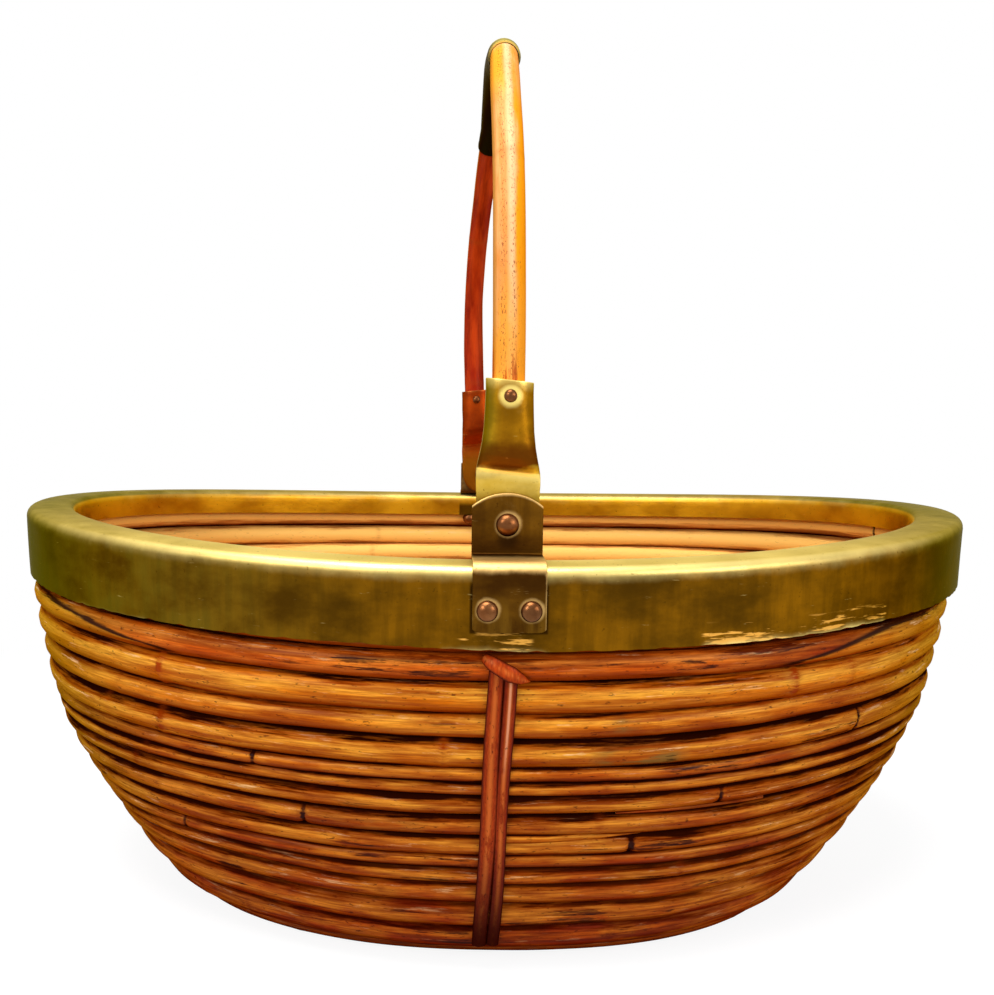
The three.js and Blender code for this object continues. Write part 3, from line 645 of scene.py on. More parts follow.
def row_cane_finish(name, fresh, fresh_pale, tucked=False):
    """Old varnished cane: fresh tones where it is young, red brown near the ground (partly painted shade), olive at the
    ends, painted shade in the cracks and underneath, a painted highlight on top and painted light on the inner side.
    """
    finish, tree, out, up, beside, ring, seed = cane_start(name)
    x, _, z = split(object_place(tree))
    own = node(tree, "ShaderNodeTexWhiteNoise", {"W": seed}, "Value", noise_dimensions="1D")
    # The age added near the ground is painted shade: the low rows turn red brown where less light reaches them.
    age = mark(tree, "cane_age") + ramp(z, 0.0, 0.075, 0.35, 0.0)
    age = age + (own - 0.5) * 0.2 + (out["Blotch"] - 0.5) * -0.4
    # On the top row, the part above a slanting border is painted shade (shaded), darker brown, and seam_shade paints a
    # dark line along the border; below it the row takes the fresh orange.
    if tucked:
        border = largest(ramp(x, 0.085, 0.17, -1.0, 0.75), ramp(x, -0.215, -0.1, 0.75, -1.0))
        border = border + (out["Stains"] - 0.4) * 0.25
        past = border - up
        turned = ramp(past, -0.05, 0.08)
        fresh, fresh_pale = mix(turned, fresh, FRESH), mix(turned, fresh_pale, FRESH_PALE)
        shaded = ramp(x, 0.075, 0.11) * (1.0 - turned)
        age = age + (shaded * 0.6 - turned * 0.25)
        seam_shade = ramp(abs(past), 0.06, 0.26, 0.95, 0.0) * ramp(border, -0.9, -0.6) * ramp(beside, -0.3, 0.0)
    # Painted light: the inner face of each cane is made younger, and through inside and inner_light_tone paler, paler
    # still higher up, with less crack shade.
    age = maths("SUBTRACT", age, ramp(beside, -0.5, 0.1, 0.7, 0.0), clamp=True)
    pale = mix(age, fresh_pale, (206, 96, 18))
    deep = mix(age, (158, 58, 2), (84, 14, 1))
    inside = ramp(beside, -0.5, -0.1, 1.0, 0.0)
    low = ramp(z, 0.015, 0.075, 1.0, 0.0)
    above = ramp(z, 0.1, 0.125)
    middle = ramp(z, 0.03, 0.06) * ramp(z, 0.1, 0.125, 1.0, 0.0)
    inner_light_tone = mix(ramp(z, 0.01, 0.1), (214, 150, 74), (255, 202, 106))
    # top paints a pale highlight along the top of each cane.
    top = ramp(up, 0.0, 0.4) * ramp(up, 0.5, 0.75, 1.0, 0.0)
    worn = mark(tree, "cane_worn") * ramp(out["Blotch"] + out["Stains"], 0.2, 0.8, 0.0, 0.8)
    # scuffs_and_glints: pale flecks on the upper side of each cane, partly scuffs and partly painted highlight.
    scuffs_and_glints = out["Scuffs"] * ramp(up, -0.2, 0.4) * ramp(low, 0.0, 1.0, 0.75, 0.3)
    stains = ramp(out["Stains"] + (mark(tree, "cane_stain") + age * 0.14 + low * 0.08), 0.84, 1.1)
    stains = stains * (out["Fibre"] * 0.4 + 0.6)
    spots = largest(stains, out["Specks"] * 0.7) * (1.0 - inside * 0.7)
    ragged = (out["Stains"] - 0.4) * 0.24 + (out["Streaks"] - 0.5) * 0.16
    # edge and crevice_shade paint shade into the cracks between the rows, wider on the middle rows.
    edge = abs(up) + (ragged + (middle * 0.13 - above * 0.05))
    crevice_shade = ramp(edge, 0.64, 0.88) * (1.0 - largest(low * 0.35, inside * 0.55))
    joint = mark(tree, "cane_joint") * (out["Stains"] * 0.7 + 0.6)
    # Among these coats, the ramp on up over deep paints shade along the underside of each cane.
    tone = coats(
        mix(age, fresh, (156, 42, 3)), (out["Blotch"] * 0.5, pale), (top * 0.6, pale),
        (out["Fibre"] * 0.5, deep), (out["Streaks"] * 0.7, deep), (ramp(up, -0.75, 0.1, 0.85, 0.0), deep),
        (ramp(abs(x), 0.13, 0.215) * 0.65, (160, 120, 10)), (inside * 0.95, inner_light_tone),
        (worn, (128, 98, 44)), (scuffs_and_glints, (250, 204, 146)), (spots, (42, 8, 2)),
        (ramp(edge, 0.42, 0.74, 0.0, 0.7), deep), (largest(crevice_shade, seam_shade) if tucked else crevice_shade, (40, 8, 1)),
        (ring * ramp(out["Streaks"], 0.0, 0.6, 0.35, 0.9), deep), (ramp(joint, 0.3, 0.75), (44, 9, 2)))
    cane_skin(tone, out, 0.33, dirt=ramp(edge, 0.5, 0.75))
    return finish


def leg_cane_finish():
    """The handle: bleached and worn outside, still deep red inside the bend."""
    finish, tree, out, up, beside, ring, _ = cane_start("handle_cane")
    height = split(object_place(tree))[2]
    wander = (out["Blotch"] - 0.5) * 0.3
    right = ramp(up + wander, -0.6, -0.3, 0.95, 0.0) * ramp(height, 0.34, 0.375, 1.0, 0.35)
    patch = ramp(height, 0.352, 0.37) * ramp(height, 0.385, 0.397, 0.8, 0.0)
    handled = ramp(height, 0.238, 0.278, 1.0, 0.1) * largest(out["Stains"], out["Scuffs"])
    tracks = largest(ramp(abs(up - 0.42), 0.05, 0.3, 1.0, 0.0), ramp(abs(up + 0.22), 0.05, 0.3, 1.0, 0.0))
    dashes = noise(mark(tree, "cane_place", "Vector"), 1500, 3.0, 0.7, (0.5, 1.3, 1.3))
    specks = largest(out["Specks"] * 0.5, ramp(dashes + tracks * 0.07, 0.62, 0.67))
    red = coats(mix(out["Blotch"], (146, 30, 6), (198, 66, 16)), (out["Stains"] * 0.5, (74, 10, 3)))
    # The pale ramp on abs(up + 0.12) is a painted highlight down the cane, a little right of its middle.
    tone = coats(
        mix(out["Blotch"], (222, 136, 62), (238, 172, 108)), (out["Fibre"] * 0.4, (206, 122, 44)),
        (ramp(abs(up + 0.12), 0.05, 0.4, 0.55, 0.0), (246, 206, 160)), (right, (244, 150, 4)),
        (patch * ramp(up + wander, -0.05, 0.35), (250, 160, 40)),
        (ramp(height + wander * 0.05, 0.255, 0.285, 0.75, 0.0), (250, 160, 44)),
        (ramp(up, 0.72, 0.95, 0.0, 0.7), (172, 112, 24)), (ramp(handled, 0.1, 0.6, 0.0, 0.9), (176, 74, 18)),
        (specks * ramp(abs(up), 0.5, 0.9, 0.8, 0.2), (132, 62, 24)),
        (ramp(beside, -0.42, -0.08, 1.0, 0.0), red), (ring * 0.6, (150, 70, 24)))
    cane_skin(tone, out, 0.3)
    return finish


row_finish = row_cane_finish("row_cane", FRESH, FRESH_PALE)
top_finish = row_cane_finish("top_row_cane", (250, 108, 8), (255, 166, 62), tucked=True)
leg_finish = leg_cane_finish()
print("Cane finishes ready")

# %% [markdown]
# ## Laying the rows
#
# Each row is one length of cane whose two ends meet in a butt joint, and the
# butts are staggered so that no two lie over each other. The rings of the canes
# fall where they may.

# %% What marks each row
# For each row: its age, where its own ends meet, and where other joints, rings,
# stains and worn places lie, all as angles round the oval.
ROW_MARKS = {
    1: dict(age=0.3, butt=0.2),
    2: dict(age=0.2, butt=2.95),
    3: dict(age=0.2, butt=6.1, stains=[(4.42, 4.66, 0.5), (5.0, 5.3, 0.3)]),
    4: dict(age=0.0, butt=1.25, rings=[(4.044, 1.6), (5.258, 1.4), (5.412, 0.8)], worn=[(5.24, 5.257, 0.5)]),
    5: dict(age=0.2, butt=2.2, rings=[(5.2, 0.3)], worn=[(4.905, 4.93, 0.9)]),
    6: dict(age=0.2, butt=0.6, joints=[5.481], rings=[(4.021, 1.2), (4.606, 1.2)], worn=[(4.88, 5.03, 1.0)],
            stains=[(4.0, 4.03, 0.5), (5.0, 5.03, 0.5), (5.3, 5.48, 0.5)]),
    7: dict(age=0.6, butt=1.8, joints=[4.233], stains=[(4.0, 4.2, 0.35), (5.0, 5.4, 0.35)]),
    8: dict(age=0.5, butt=0.9, rings=[(4.9, 0.5)]),
    9: dict(age=0.5, butt=2.5, joints=[5.142], rings=[(3.9, 0.6)], stains=[(4.0, 4.15, 0.3)]),
    10: dict(age=0.55, butt=1.5, joints=[4.317], rings=[(4.9, 0.4)], worn=[(4.3, 4.55, 0.2)]),
    11: dict(age=0.5, butt=0.4, joints=[4.972], rings=[(4.4, 0.5)], stains=[(4.98, 5.1, 0.25)]),
    12: dict(age=0.6, butt=2.05, joints=[3.971],
             stains=[(3.94, 4.0, 0.5), (4.26, 4.31, 0.6), (4.4, 4.48, 0.6), (4.58, 4.66, 0.5)]),
    13: dict(age=0.6, butt=1.05, rings=[(4.2, 0.6), (5.1, 0.6)], stains=[(4.5, 4.6, 0.3)]),
    14: dict(age=0.5, butt=2.75, rings=[(4.45, 0.5)], stains=[(4.02, 4.1, 0.5), (5.1, 5.3, 0.35)]),
    15: dict(age=0.55, butt=1.65, rings=[(4.2, 0.6)], stains=[(4.74, 4.96, 0.6), (4.3, 4.5, 0.3)]),
    16: dict(age=0.7, butt=0.75, rings=[(5.0, 0.5)], stains=[(4.5, 4.65, 0.4)]),
}

# %% [markdown]
# ## Rows, rim canes and base
#
# Each hoop is pressed on the one before it, so it is drawn fuller by half of any
# gap that is left. The base rings also lift a little, so that they close against
# each other and still stand clear of the ground. The rows in the open sway
# slightly. The lowest one and all that lie under the band are kept nearly
# straight.

# %% Rows, cores and base hoops
HALF_BUTT, BASE_LIFT = 0.00005, 0.0003
LEAST_SPARE, ROW_SPARE, BASE_SPARE, CLOSE_ROWS = 0.0002, 0.0012, 0.0022, 0.0003
FAINT_RINGS, FAINT = 3, 0.35
rng = np.random.default_rng(7)


def lay_hoop(name, piece_name, values, butt=0.0, joints=(), rings=(), stains=(), worn=(), age=0.3):
    size = hoops[name]
    gap = HALF_BUTT / size["half_length"]
    turns = np.linspace(butt + gap, butt + 2 * math.pi - gap, 4 * LINE_STEPS)
    points, radius, share = oval_line(size, turns)
    in_base = name in BASE_HOOPS
    spare = CLOSE_ROWS + size["side_gap"] * (1 - share) + size["end_gap"] * share
    spare = spare.clip(LEAST_SPARE, BASE_SPARE if in_base else ROW_SPARE)
    if in_base:
        points[:, 2] += 0.5 * spare + BASE_LIFT
    lean = size["side_lean"] + (size["end_lean"] - size["side_lean"]) * share
    run = lengths_along(points)

    def place_of(turn_angle):
        return float(np.interp(butt + (turn_angle - butt) % (2 * math.pi), turns, run))

    def patches(spans):
        return [(place_of(first), place_of(last), strength) for first, last, strength in spans]

    faint = [(place_of(t), FAINT) for t in rng.uniform(0, 2 * math.pi, FAINT_RINGS)]
    mesh = line_mesh(points, radius + 0.5 * spare, lean, rings=[(place_of(t), s) for t, s in rings] + faint,
                     joints=[0.0, run[-1]] + [place_of(t) for t in joints],
                     stains=patches(stains), worn=patches(worn))
    settings = {"Seed": float(rng.uniform(1, 90)), "Age": age, "Finish": row_finish, **values}
    return hand_over(grow(piece_name, cane_tree, mesh, settings), [name], "basket")


for i, name in enumerate(ROWS, 1):
    loose = 3 <= i <= 15
    lay_hoop(name, f"row_{i:02d}", {
        "Waviness": 0.0005 if loose else 0.0002, "Sway": 0.0012 if loose else 0.0, "Fullness": 1.04,
        "Finish": top_finish if i == 3 else row_finish,
    }, **ROW_MARKS[i])
for i, name in enumerate(CORES):
    lay_hoop(name, f"rim_core_{i + 1}", {"Waviness": 0.0, "Unevenness": 0.0}, butt=2.0 + i)
for i, name in enumerate(BASE_HOOPS):
    lay_hoop(name, f"base_ring_{i + 1}", {"Waviness": 0.0002, "Unevenness": 0.04}, butt=0.9 + 2.1 * i, age=0.8)

# %% [markdown]
# ## The cane in the middle of the base
#
# The base begins with one short straight cane, and the hoops are laid round it.
# Its tips are whittled down so that the first hoop can turn tightly past them.
# A quarter turn of lean turns up the side that carries the pale painted light of the inside rows, where it is seen.

# %% The core cane
CORE_LEFT, CORE_RIGHT = 0.0026, 0.0014
core_low, core_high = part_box("base_core_cane")
core_height = (core_low[2] + core_high[2]) / 2 + BASE_LIFT
core_line = [(x, 0.0, core_height) for x in np.linspace(core_low[0] - CORE_LEFT, core_high[0] + CORE_RIGHT, 60)]
tip = np.linspace(40, 90, 8)
core_round = np.sin(np.radians(np.concatenate([tip, np.full(44, 90), tip[::-1]])))
core_mesh = line_mesh(core_line, (core_high[1] - core_low[1]) / 2 * core_round, math.pi / 2, steps=60,
                      rings=[(0.03, 0.7)])
hand_over(grow("base_core", cane_tree, core_mesh, {
    "Waviness": 0.0, "Unevenness": 0.02, "Age": 0.8, "Seed": 5.0, "Finish": row_finish, "Ring Height": 0.0,
}), ["base_core_cane"], "basket")
print("Core cane, mm:", round(1000 * (core_line[-1][0] - core_line[0][0]), 1))

# %% [markdown]
# ## Filler canes
#
# Where two rows part, a thin cane can be wedged into the groove. Two such canes
# show at the front. A third runs all the way round between the lowest row and the
# base, thicker at the front and back than at the ends.

# %% Fillers


def filler(name, above, below, span, thick, lift, age, steps=120):
    """A thin cane laid in the groove between two rows to close it up."""
    turns = np.linspace(*span, steps)
    size = hoops[above]
    upper, radius_up, _ = oval_line(size, turns)
    lower, radius_low, _ = oval_line(hoops[below], turns)
    weight = (radius_up / (radius_up + radius_low))[:, None]
    lean = hoops[below]["side_lean"]
    outward = np.stack([np.cos(turns), np.sin(turns)], axis=1) * [1, size["half_length"] / size["half_width"]]
    outward /= np.linalg.norm(outward, axis=1)[:, None]
    push = np.concatenate([outward * math.cos(lean), np.full((steps, 1), -math.sin(lean))], axis=1) * lift
    mesh = line_mesh(upper * (1 - weight) + lower * weight + push, np.interp(turns, *thick), lean, steps=steps)
    settings = {"Waviness": 0.0003, "Age": age, "Seed": 31.0 + lift, "Finish": row_finish, "Sides": 12}
    hand_over(grow(name, cane_tree, mesh, settings), [], "basket")


filler("wedge_cane", "wall_hoop_10", "wall_hoop_11", (4.70, 5.0),
       ([4.70, 4.80, 4.92, 5.0], [0.0026, 0.0024, 0.0015, 0.0005]), 0.0027, 0.3)
filler("foot_cane", "wall_hoop_16", "base_hoop_1", (0.6, 0.6 + 2 * math.pi),
       (0.5 * math.pi * np.arange(6), [0.0012, 0.0025, 0.0012, 0.0025, 0.0012, 0.0025]), 0.0, 0.8, steps=300)
filler("thin_cane", "wall_hoop_09", "wall_hoop_10", (4.93, 5.262),
       ([4.93, 5.05, 5.262], [0.0004, 0.0011, 0.0013]), 0.0028, 0.8)
print("Fillers laid")

# %% [markdown]
# ## The finish of the brass
#
# Brass that nobody polishes turns a dark olive brown and stays bright where hands
# and rivets rub it: along the top of the rim, on folds and round the heads. One
# colour can't show that, so each brass mesh carries a value for how worn it is,
# and noise breaks it up into blotches, pits and fine scratches. The same value
# also paints highlights on lit edges and folds, and a painted reflection of the
# sky along the front of the crown.

# %% Brass finish


def ring_round(place, centre, inner, outer):
    """A mask round an axis that runs front to back through a centre."""
    flat = vectors("MULTIPLY", place, (1, 0, 1))
    return ramp(vectors("DISTANCE", flat, (centre[0], 0, centre[1])), inner, outer, 1.0, 0.0)


def metal_skin(tone, gloss, height, relief, depth, edge_tint=WHITE):
    tree = tone.tree
    bump = node(tree, "ShaderNodeBump", {"Strength": relief, "Distance": depth, "Height": height})
    skin = node(tree, "ShaderNodeBsdfPrincipled", {
        "Base Color": tone, "Metallic": 1.0, "Roughness": gloss, "Normal": bump, "Specular Tint": edge_tint,
    })
    node(tree, "ShaderNodeOutputMaterial", {"Surface": skin})


def brass_finish(name, dark, warm, bright, halos=(), zones=None, rough=0.36, ragged=0.5, halo=0.9):
    """Zones are further tones, given as a function of the tone, the place and the effects."""
    finish, tree = new_finish(name)
    place = object_place(tree)
    rubbed = mark(tree, "rubbed")
    for centre, inner, outer in halos:
        outside = halo - mark(tree, "inner") * halo
        rubbed = largest(rubbed, ring_round(place, centre, inner, outer) * outside)
    feeds = {"Place": place, "Raggedness": ragged, "Rubbed": rubbed}
    out = node(tree, "ShaderNodeGroup", feeds, None, node_tree=patina_group)
    tone = coats(mix(out["Clouds"], dark, warm), (out["Smears"] * 0.45, dark))
    if zones:
        tone = zones(tone, place, out)
    tone = coats(tone, (out["Shine"], bright), (out["Scratches"] * 0.25, bright), (out["Pits"] * 0.6, dark))
    metal_skin(tone, out["Clouds"] * 0.12 + rough, out["Height"], 0.3, 0.0006, (0.5, 0.42, 0.2, 1))
    return finish


# %% [markdown]
# ## Sheet metal as plain meshes
#
# Band, brackets, ferrules and sleeve are all sheet, drawn as rings or grids of
# points and skinned with faces. One function turns the faces outwards, writes
# each point's marks, such as its wear and painted glint, and hands the piece over
# with its finish.

# %% Mesh helpers


def face_outwards(mesh):
    shape = bmesh.new()
    shape.from_mesh(mesh)
    bmesh.ops.recalc_face_normals(shape, faces=shape.faces)
    shape.to_mesh(mesh)
    shape.free()


def mesh_piece(name, vertices, faces, finish, body, replaced, slot, **marks):
    """A plain mesh in place, dressed, with its faces turned outwards. Marks are values for each point."""
    mesh = bpy.data.meshes.new(name)
    mesh.from_pydata([tuple(v) for v in vertices], [], faces)
    add_marks(mesh, marks)
    face_outwards(mesh)
    mesh.materials.append(finish)
    mesh.shade_smooth()
    mesh.set_sharp_from_angle(angle=math.radians(38))
    piece = bpy.data.objects.new(name, mesh)
    scene.collection.objects.link(piece)
    return hand_over(piece, replaced, body)


def loop_faces(rings, count, closed):
    """Quads between rings of equal length; an open run gets a cap at each end."""
    faces = []
    for i in range(rings if closed else rings - 1):
        near, far = i * count, (i + 1) % rings * count
        for j in range(count):
            k = (j + 1) % count
            faces.append((near + j, near + k, far + k, far + j))
    if not closed:
        faces.append(tuple(range(count))[::-1])
        faces.append(tuple((rings - 1) * count + j for j in range(count)))
    return faces


def arc(out, up, radius, start, end, count):
    return [(out + radius * math.cos(t), up + radius * math.sin(t))
            for t in np.radians(np.linspace(start, end, count))]


def full_turn(count):
    return np.linspace(0, 2 * math.pi, count, endpoint=False)


def held(value):
    return max(0.0, min(1.0, value))


# %% [markdown]
# ## The brass band
#
# The rim is a strip of sheet brass folded over the top canes: a deep skirt
# outside, a flat top and a short lip inside. Its section is drawn once and
# carried round the oval along the true normal. The lower edge of the skirt is
# hammered in by hand, so it wanders a little and is nicked.

# %% Band
BAND_HALF_LENGTH, BAND_HALF_WIDTH = 0.230, 0.170
CROWN_HEIGHT, RIM_LIFT = 0.176, 0.0085
CHANNEL, SKIRT, LIP, SHEET, BEND = 0.022, 0.031, 0.013, 0.001, 0.004
SKIRT_TUCK, FLAT_RISE, SWAY_IN, FOOT_FROM = 0.0012, 0.0003, 0.0004, 0.018
FRONT_CROWN = CROWN_HEIGHT + RIM_LIFT * math.sin(math.radians(7.5)) ** 2
STRAP, STRAP_WIDTH, STRAP_DROP, HUG = 0.0016, 0.0269, 0.024, 0.0003
BAND_STEPS = 420
# First and last angle of each frayed stretch, and how bare it is
FRAYED = [(5.04, 5.46, 1.0), (4.60, 4.78, 0.6), (3.8, 4.05, 0.4), (1.9, 2.2, 0.8), (0.5, 0.8, 0.7)]


def band_section():
    """Section points as out and up from the outer face and the crown."""
    inner = BEND - SHEET
    section = [(-SKIRT_TUCK * (1 - t) ** 2, -SKIRT + t * (SKIRT - BEND)) for t in (0, 0.03, 0.1, 0.2, 0.35, 0.6, 0.85)]
    section += arc(-BEND, -BEND, BEND, 0, 90, 7)
    section += [(-BEND - t * (CHANNEL - 2 * BEND), FLAT_RISE * math.sin(math.pi * t)) for t in (0.2, 0.4, 0.6, 0.8)]
    section += arc(BEND - CHANNEL, -BEND, BEND, 90, 180, 7)
    section += [(-CHANNEL, -BEND - t * (LIP - BEND)) for t in (0.3, 0.65, 0.97, 1.0)]
    section += [(SHEET - CHANNEL, -LIP), (SHEET - CHANNEL, -BEND)]
    section += arc(BEND - CHANNEL, -BEND, inner, 180, 90, 4) + arc(-BEND, -BEND, inner, 90, 0, 4)
    return section + [(-SHEET, -0.5 * SKIRT), (-SKIRT_TUCK - SHEET, -SKIRT)]


def smooth_noise(turns, seed, waves, power):
    """A closed wavy line round the oval from a few seeded waves."""
    dice = np.random.default_rng(seed)
    total = np.zeros_like(turns)
    for wave in waves:
        total += dice.uniform(-1, 1) * np.sin(wave * turns + dice.uniform(0, 2 * math.pi)) / wave ** power
    return total / max(np.abs(total).max(), 1e-9)


turns = full_turn(BAND_STEPS)
section = band_section()
face_points = np.stack([BAND_HALF_LENGTH * np.cos(turns), BAND_HALF_WIDTH * np.sin(turns)], axis=1)
face_normals = np.stack([np.cos(turns) / BAND_HALF_LENGTH, np.sin(turns) / BAND_HALF_WIDTH], axis=1)
face_normals /= np.linalg.norm(face_normals, axis=1)[:, None]
edge_drift = 0.0007 * smooth_noise(turns, 3, (5, 8, 13, 21, 34, 55), 0.6)
nicks = 0.0006 * smooth_noise(turns, 5, (89, 113, 151, 190), 0.3).clip(0, 1)
dents = smooth_noise(turns, 11, (9, 14, 23, 31), 0.4)
frays = smooth_noise(turns, 23, (17, 29, 47, 71), 0.2).clip(0.15, 1)
vertices, rubbed, inner, frayed = [], [], [], []
for i, turn_angle in enumerate(turns):
    crown = CROWN_HEIGHT + RIM_LIFT * math.cos(turn_angle) ** 2
    side = math.sin(turn_angle)
    # The crown is worn bright, more so across the front, where the extra brightness is a painted reflection of the sky.
    crown_rub_and_sky_sheen = 0.35 + (0.65 if side < 0 else 0.2) * side ** 2
    bare = [strength * (0.4 + 0.6 * frays[i]) for first, last, strength in FRAYED if first < turn_angle < last]
    fray = max(bare + [0.2 * frays[i]])
    for out, up in section:
        low = max(0.0, (-up - FOOT_FROM) / (SKIRT - FOOT_FROM))
        sway = -SWAY_IN * (1 + dents[i]) * (out > -0.008) * math.sin(math.pi * min(1, -up / SKIRT))
        place = face_points[i] + face_normals[i] * (out + sway)
        vertices.append((place[0], place[1], crown + up + low ** 3 * (edge_drift[i] + nicks[i])))
        top = held(1 + (up + 0.0008) / 0.0062) ** 1.3 * crown_rub_and_sky_sheen
        rubbed.append(max(top, 0.95 * fray * low ** 8, 0.1 if out < -0.012 else 0.0))
        inner.append(1.0 if out < -0.0195 and up < -0.002 else 0.0)
        frayed.append(fray * held((-up - 0.021) / 0.008) if fray > 0.3 and out > -0.008 else 0.0)


def band_zones(tone, place, out):
    """Green olive at the ends as a painted reflection, warmer inside the lip, a painted shadow round the straps, and
    bare where it frays.
    """
    x, _, z = split(place)
    lip = mix(out["Clouds"], (160, 104, 8), (206, 150, 24))
    foot = FRONT_CROWN - STRAP_DROP
    # painted_shadow: a painted shadow round the foot of each strap.
    painted_shadow = ramp(abs(x), 0.0138, 0.0148, 0.85, 0.0) * ramp(z, foot - 0.0014, foot - 0.0004)
    painted_shadow = painted_shadow * ramp(z, FRONT_CROWN - 0.008, FRONT_CROWN - 0.004, 1.0, 0.0)
    lines = noise(place, 430, 4.0, 0.65, (0.1, 0.1, 1))
    fray = mark(tone.tree, "frayed")
    # The green olive on the ends is a painted reflection.
    return coats(
        tone, (ramp(x, -0.15, -0.03, 0.6, 0.0) * out["Clouds"], (92, 90, 26)),
        (ramp(abs(x), 0.15, 0.225, 0.0, 0.85), (74, 82, 6)), (mark(tone.tree, "inner"), lip), (painted_shadow, (34, 16, 2)),
        (ramp(lines + fray * 0.13, 0.58, 0.66) * ramp(fray, 0.05, 0.3), (226, 164, 70)))


band_brass = brass_finish("band_brass", (74, 48, 5), (134, 88, 9), (240, 214, 130), zones=band_zones, ragged=0.3)
mesh_piece("brass_band", vertices, loop_faces(BAND_STEPS, len(section), True), band_brass,
           "basket", ["rim_band"], "aged_brass", rubbed=rubbed, inner=inner, frayed=frayed)
print("Band section points:", len(section))

# %% [markdown]
# ## Brackets
#
# Each bracket is a strap of thicker sheet that hugs the band, folds over the
# crown, and turns up again as a round-topped ear for the hinge. It is drawn as a
# grid that follows the fold, cut to an arch at the top, and given its thickness.

# %% Brackets
EAR_SETBACK, EAR_SHOULDER, EAR_TOP, FOLD = 0.019, 0.020, 0.025, 0.0006
PIVOT_HEIGHT = FRONT_CROWN + 0.013
RIM_RIVET_HEIGHT = hoops["wall_hoop_01"]["side_height"]
RIM_RIVETS = [(x, RIM_RIVET_HEIGHT) for x in (-0.008, 0.008)]
SIDES = (("front", 1), ("back", -1))
half = STRAP_WIDTH / 2
arch_radius = (half ** 2 + (EAR_TOP - EAR_SHOULDER) ** 2) / (2 * (EAR_TOP - EAR_SHOULDER))


def strap_path(across):
    """The outer face of the strap from its foot to the top of the ear, as out, up and brightness; the fold and the top
    edge of the ear are bright partly from wear and partly as painted highlight.
    """
    foot = -STRAP_DROP + 0.0012 * (abs(across) / half) ** 12
    face = HUG + STRAP
    bend = BEND + face
    path = [(face, foot + t * (-BEND - foot), 0.0) for t in np.linspace(0, 1, 12)]
    path += [(o, u, t) for (o, u), t in zip(arc(-BEND, -BEND, bend, 0, 90, 9)[1:], (0.2, 0.45, 0.7, 0.9, 1, 1, 1, 1))]
    path += [(-BEND - t * (EAR_SETBACK - BEND - FOLD), face, 0.95 - 0.9 * t) for t in np.linspace(0.1, 1, 6)]
    path += [(o, u, 0.0) for o, u in arc(-EAR_SETBACK + FOLD, face + FOLD, FOLD, 270, 180, 5)[1:]]
    top = EAR_TOP - arch_radius + math.sqrt(arch_radius ** 2 - across ** 2)
    path += [(-EAR_SETBACK, face + FOLD + t * (top - face - FOLD), 0.9 * (t > 0.97)) for t in np.linspace(0.06, 1, 16)]
    return np.array(path)


def bracket_mesh(side):
    columns = np.linspace(-half, half, 27)
    paths = np.array([strap_path(across) for across in columns])
    outer = paths[..., :2]
    # Thin bright lines along the side edges, partly wear; the stronger one on the right is a painted highlight.
    edge_rub_and_glint = ((0.15 + 0.4 * (columns > 0)) * (np.abs(columns) > 0.985 * half))[:, None] * (outer[..., 0] > -0.01)
    rub_glint = np.maximum(paths[..., 2], edge_rub_and_glint)
    step = np.gradient(outer, axis=1)
    normal = np.stack([step[..., 1], -step[..., 0]], axis=-1)
    normal /= np.linalg.norm(normal, axis=-1, keepdims=True)
    vertices = [(side * across, -side * (BAND_HALF_WIDTH + out), FRONT_CROWN + up)
                for layer in (outer, outer - STRAP * normal)
                for across, line in zip(columns, layer) for out, up in line]
    count, last = outer.shape[1], len(columns) - 1
    size = len(columns) * count
    faces = []
    for i in range(last):
        for j in range(count - 1):
            a, b = i * count + j, (i + 1) * count + j
            faces += [(a, a + 1, b + 1, b), (size + a, size + b, size + b + 1, size + a + 1)]
    rim = [i * count for i in range(last + 1)] + [last * count + j for j in range(1, count)]
    rim += [i * count + count - 1 for i in range(last - 1, -1, -1)] + list(range(count - 2, 0, -1))
    faces += [(a, b, size + b, size + a) for a, b in zip(rim, rim[1:] + rim[:1])]
    return vertices, faces, np.concatenate([rub_glint.ravel(), 0.3 * np.ones(size)])


def strap_zones(tone, place, out):
    """A painted shadow round the foot of the ear and under the hinge rivet."""
    # A painted shadow under the hinge rivet.
    painted_shadow = ring_round(place, (0.0, PIVOT_HEIGHT - 0.005), 0.002, 0.0055)
    lighter = ramp(split(place)[2], 0.158, 0.168, 0.5, 0.0) * out["Smears"]
    return coats(tone, (painted_shadow * 0.7, (40, 22, 6)), (lighter, (130, 92, 24)))


# The rings round the rivet heads are worn brass; they sit a touch right of the heads, and those of the rim rivets a
# touch up as well, as a painted highlight.
halos = [((0.0003, PIVOT_HEIGHT), 0.0040, 0.0064)]
halos += [((x + 0.0003, z + 0.0003), 0.0036, 0.0058) for x, z in RIM_RIVETS]
strap_brass = brass_finish("strap_brass", (58, 32, 6), (112, 74, 16), (214, 174, 106), halos=halos,
                           zones=strap_zones, rough=0.46, ragged=0.8, halo=0.6)
for label, side in SIDES:
    vertices, faces, rub_glint = bracket_mesh(side)
    piece = mesh_piece(f"{label}_strap", vertices, faces, strap_brass, "basket", [f"{label}_bracket"], "aged_brass",
                       rubbed=rub_glint)
    bevel = piece.modifiers.new("edge", "BEVEL")
    bevel.width, bevel.segments, bevel.limit_method, bevel.angle_limit = 0.0003, 2, "ANGLE", math.radians(50)
print("Pivot height, mm:", round(1000 * PIVOT_HEIGHT, 1))

# %% [markdown]
# ## Ferrules
#
# A ferrule starts as a tube over the end of the handle and is beaten flat below,
# so its tongue can swing behind the ear. A loft through a few sections, round
# above and thin below, gives that pinched shape with its crease.

# %% Ferrules
LEG_OFFSET = 0.1481
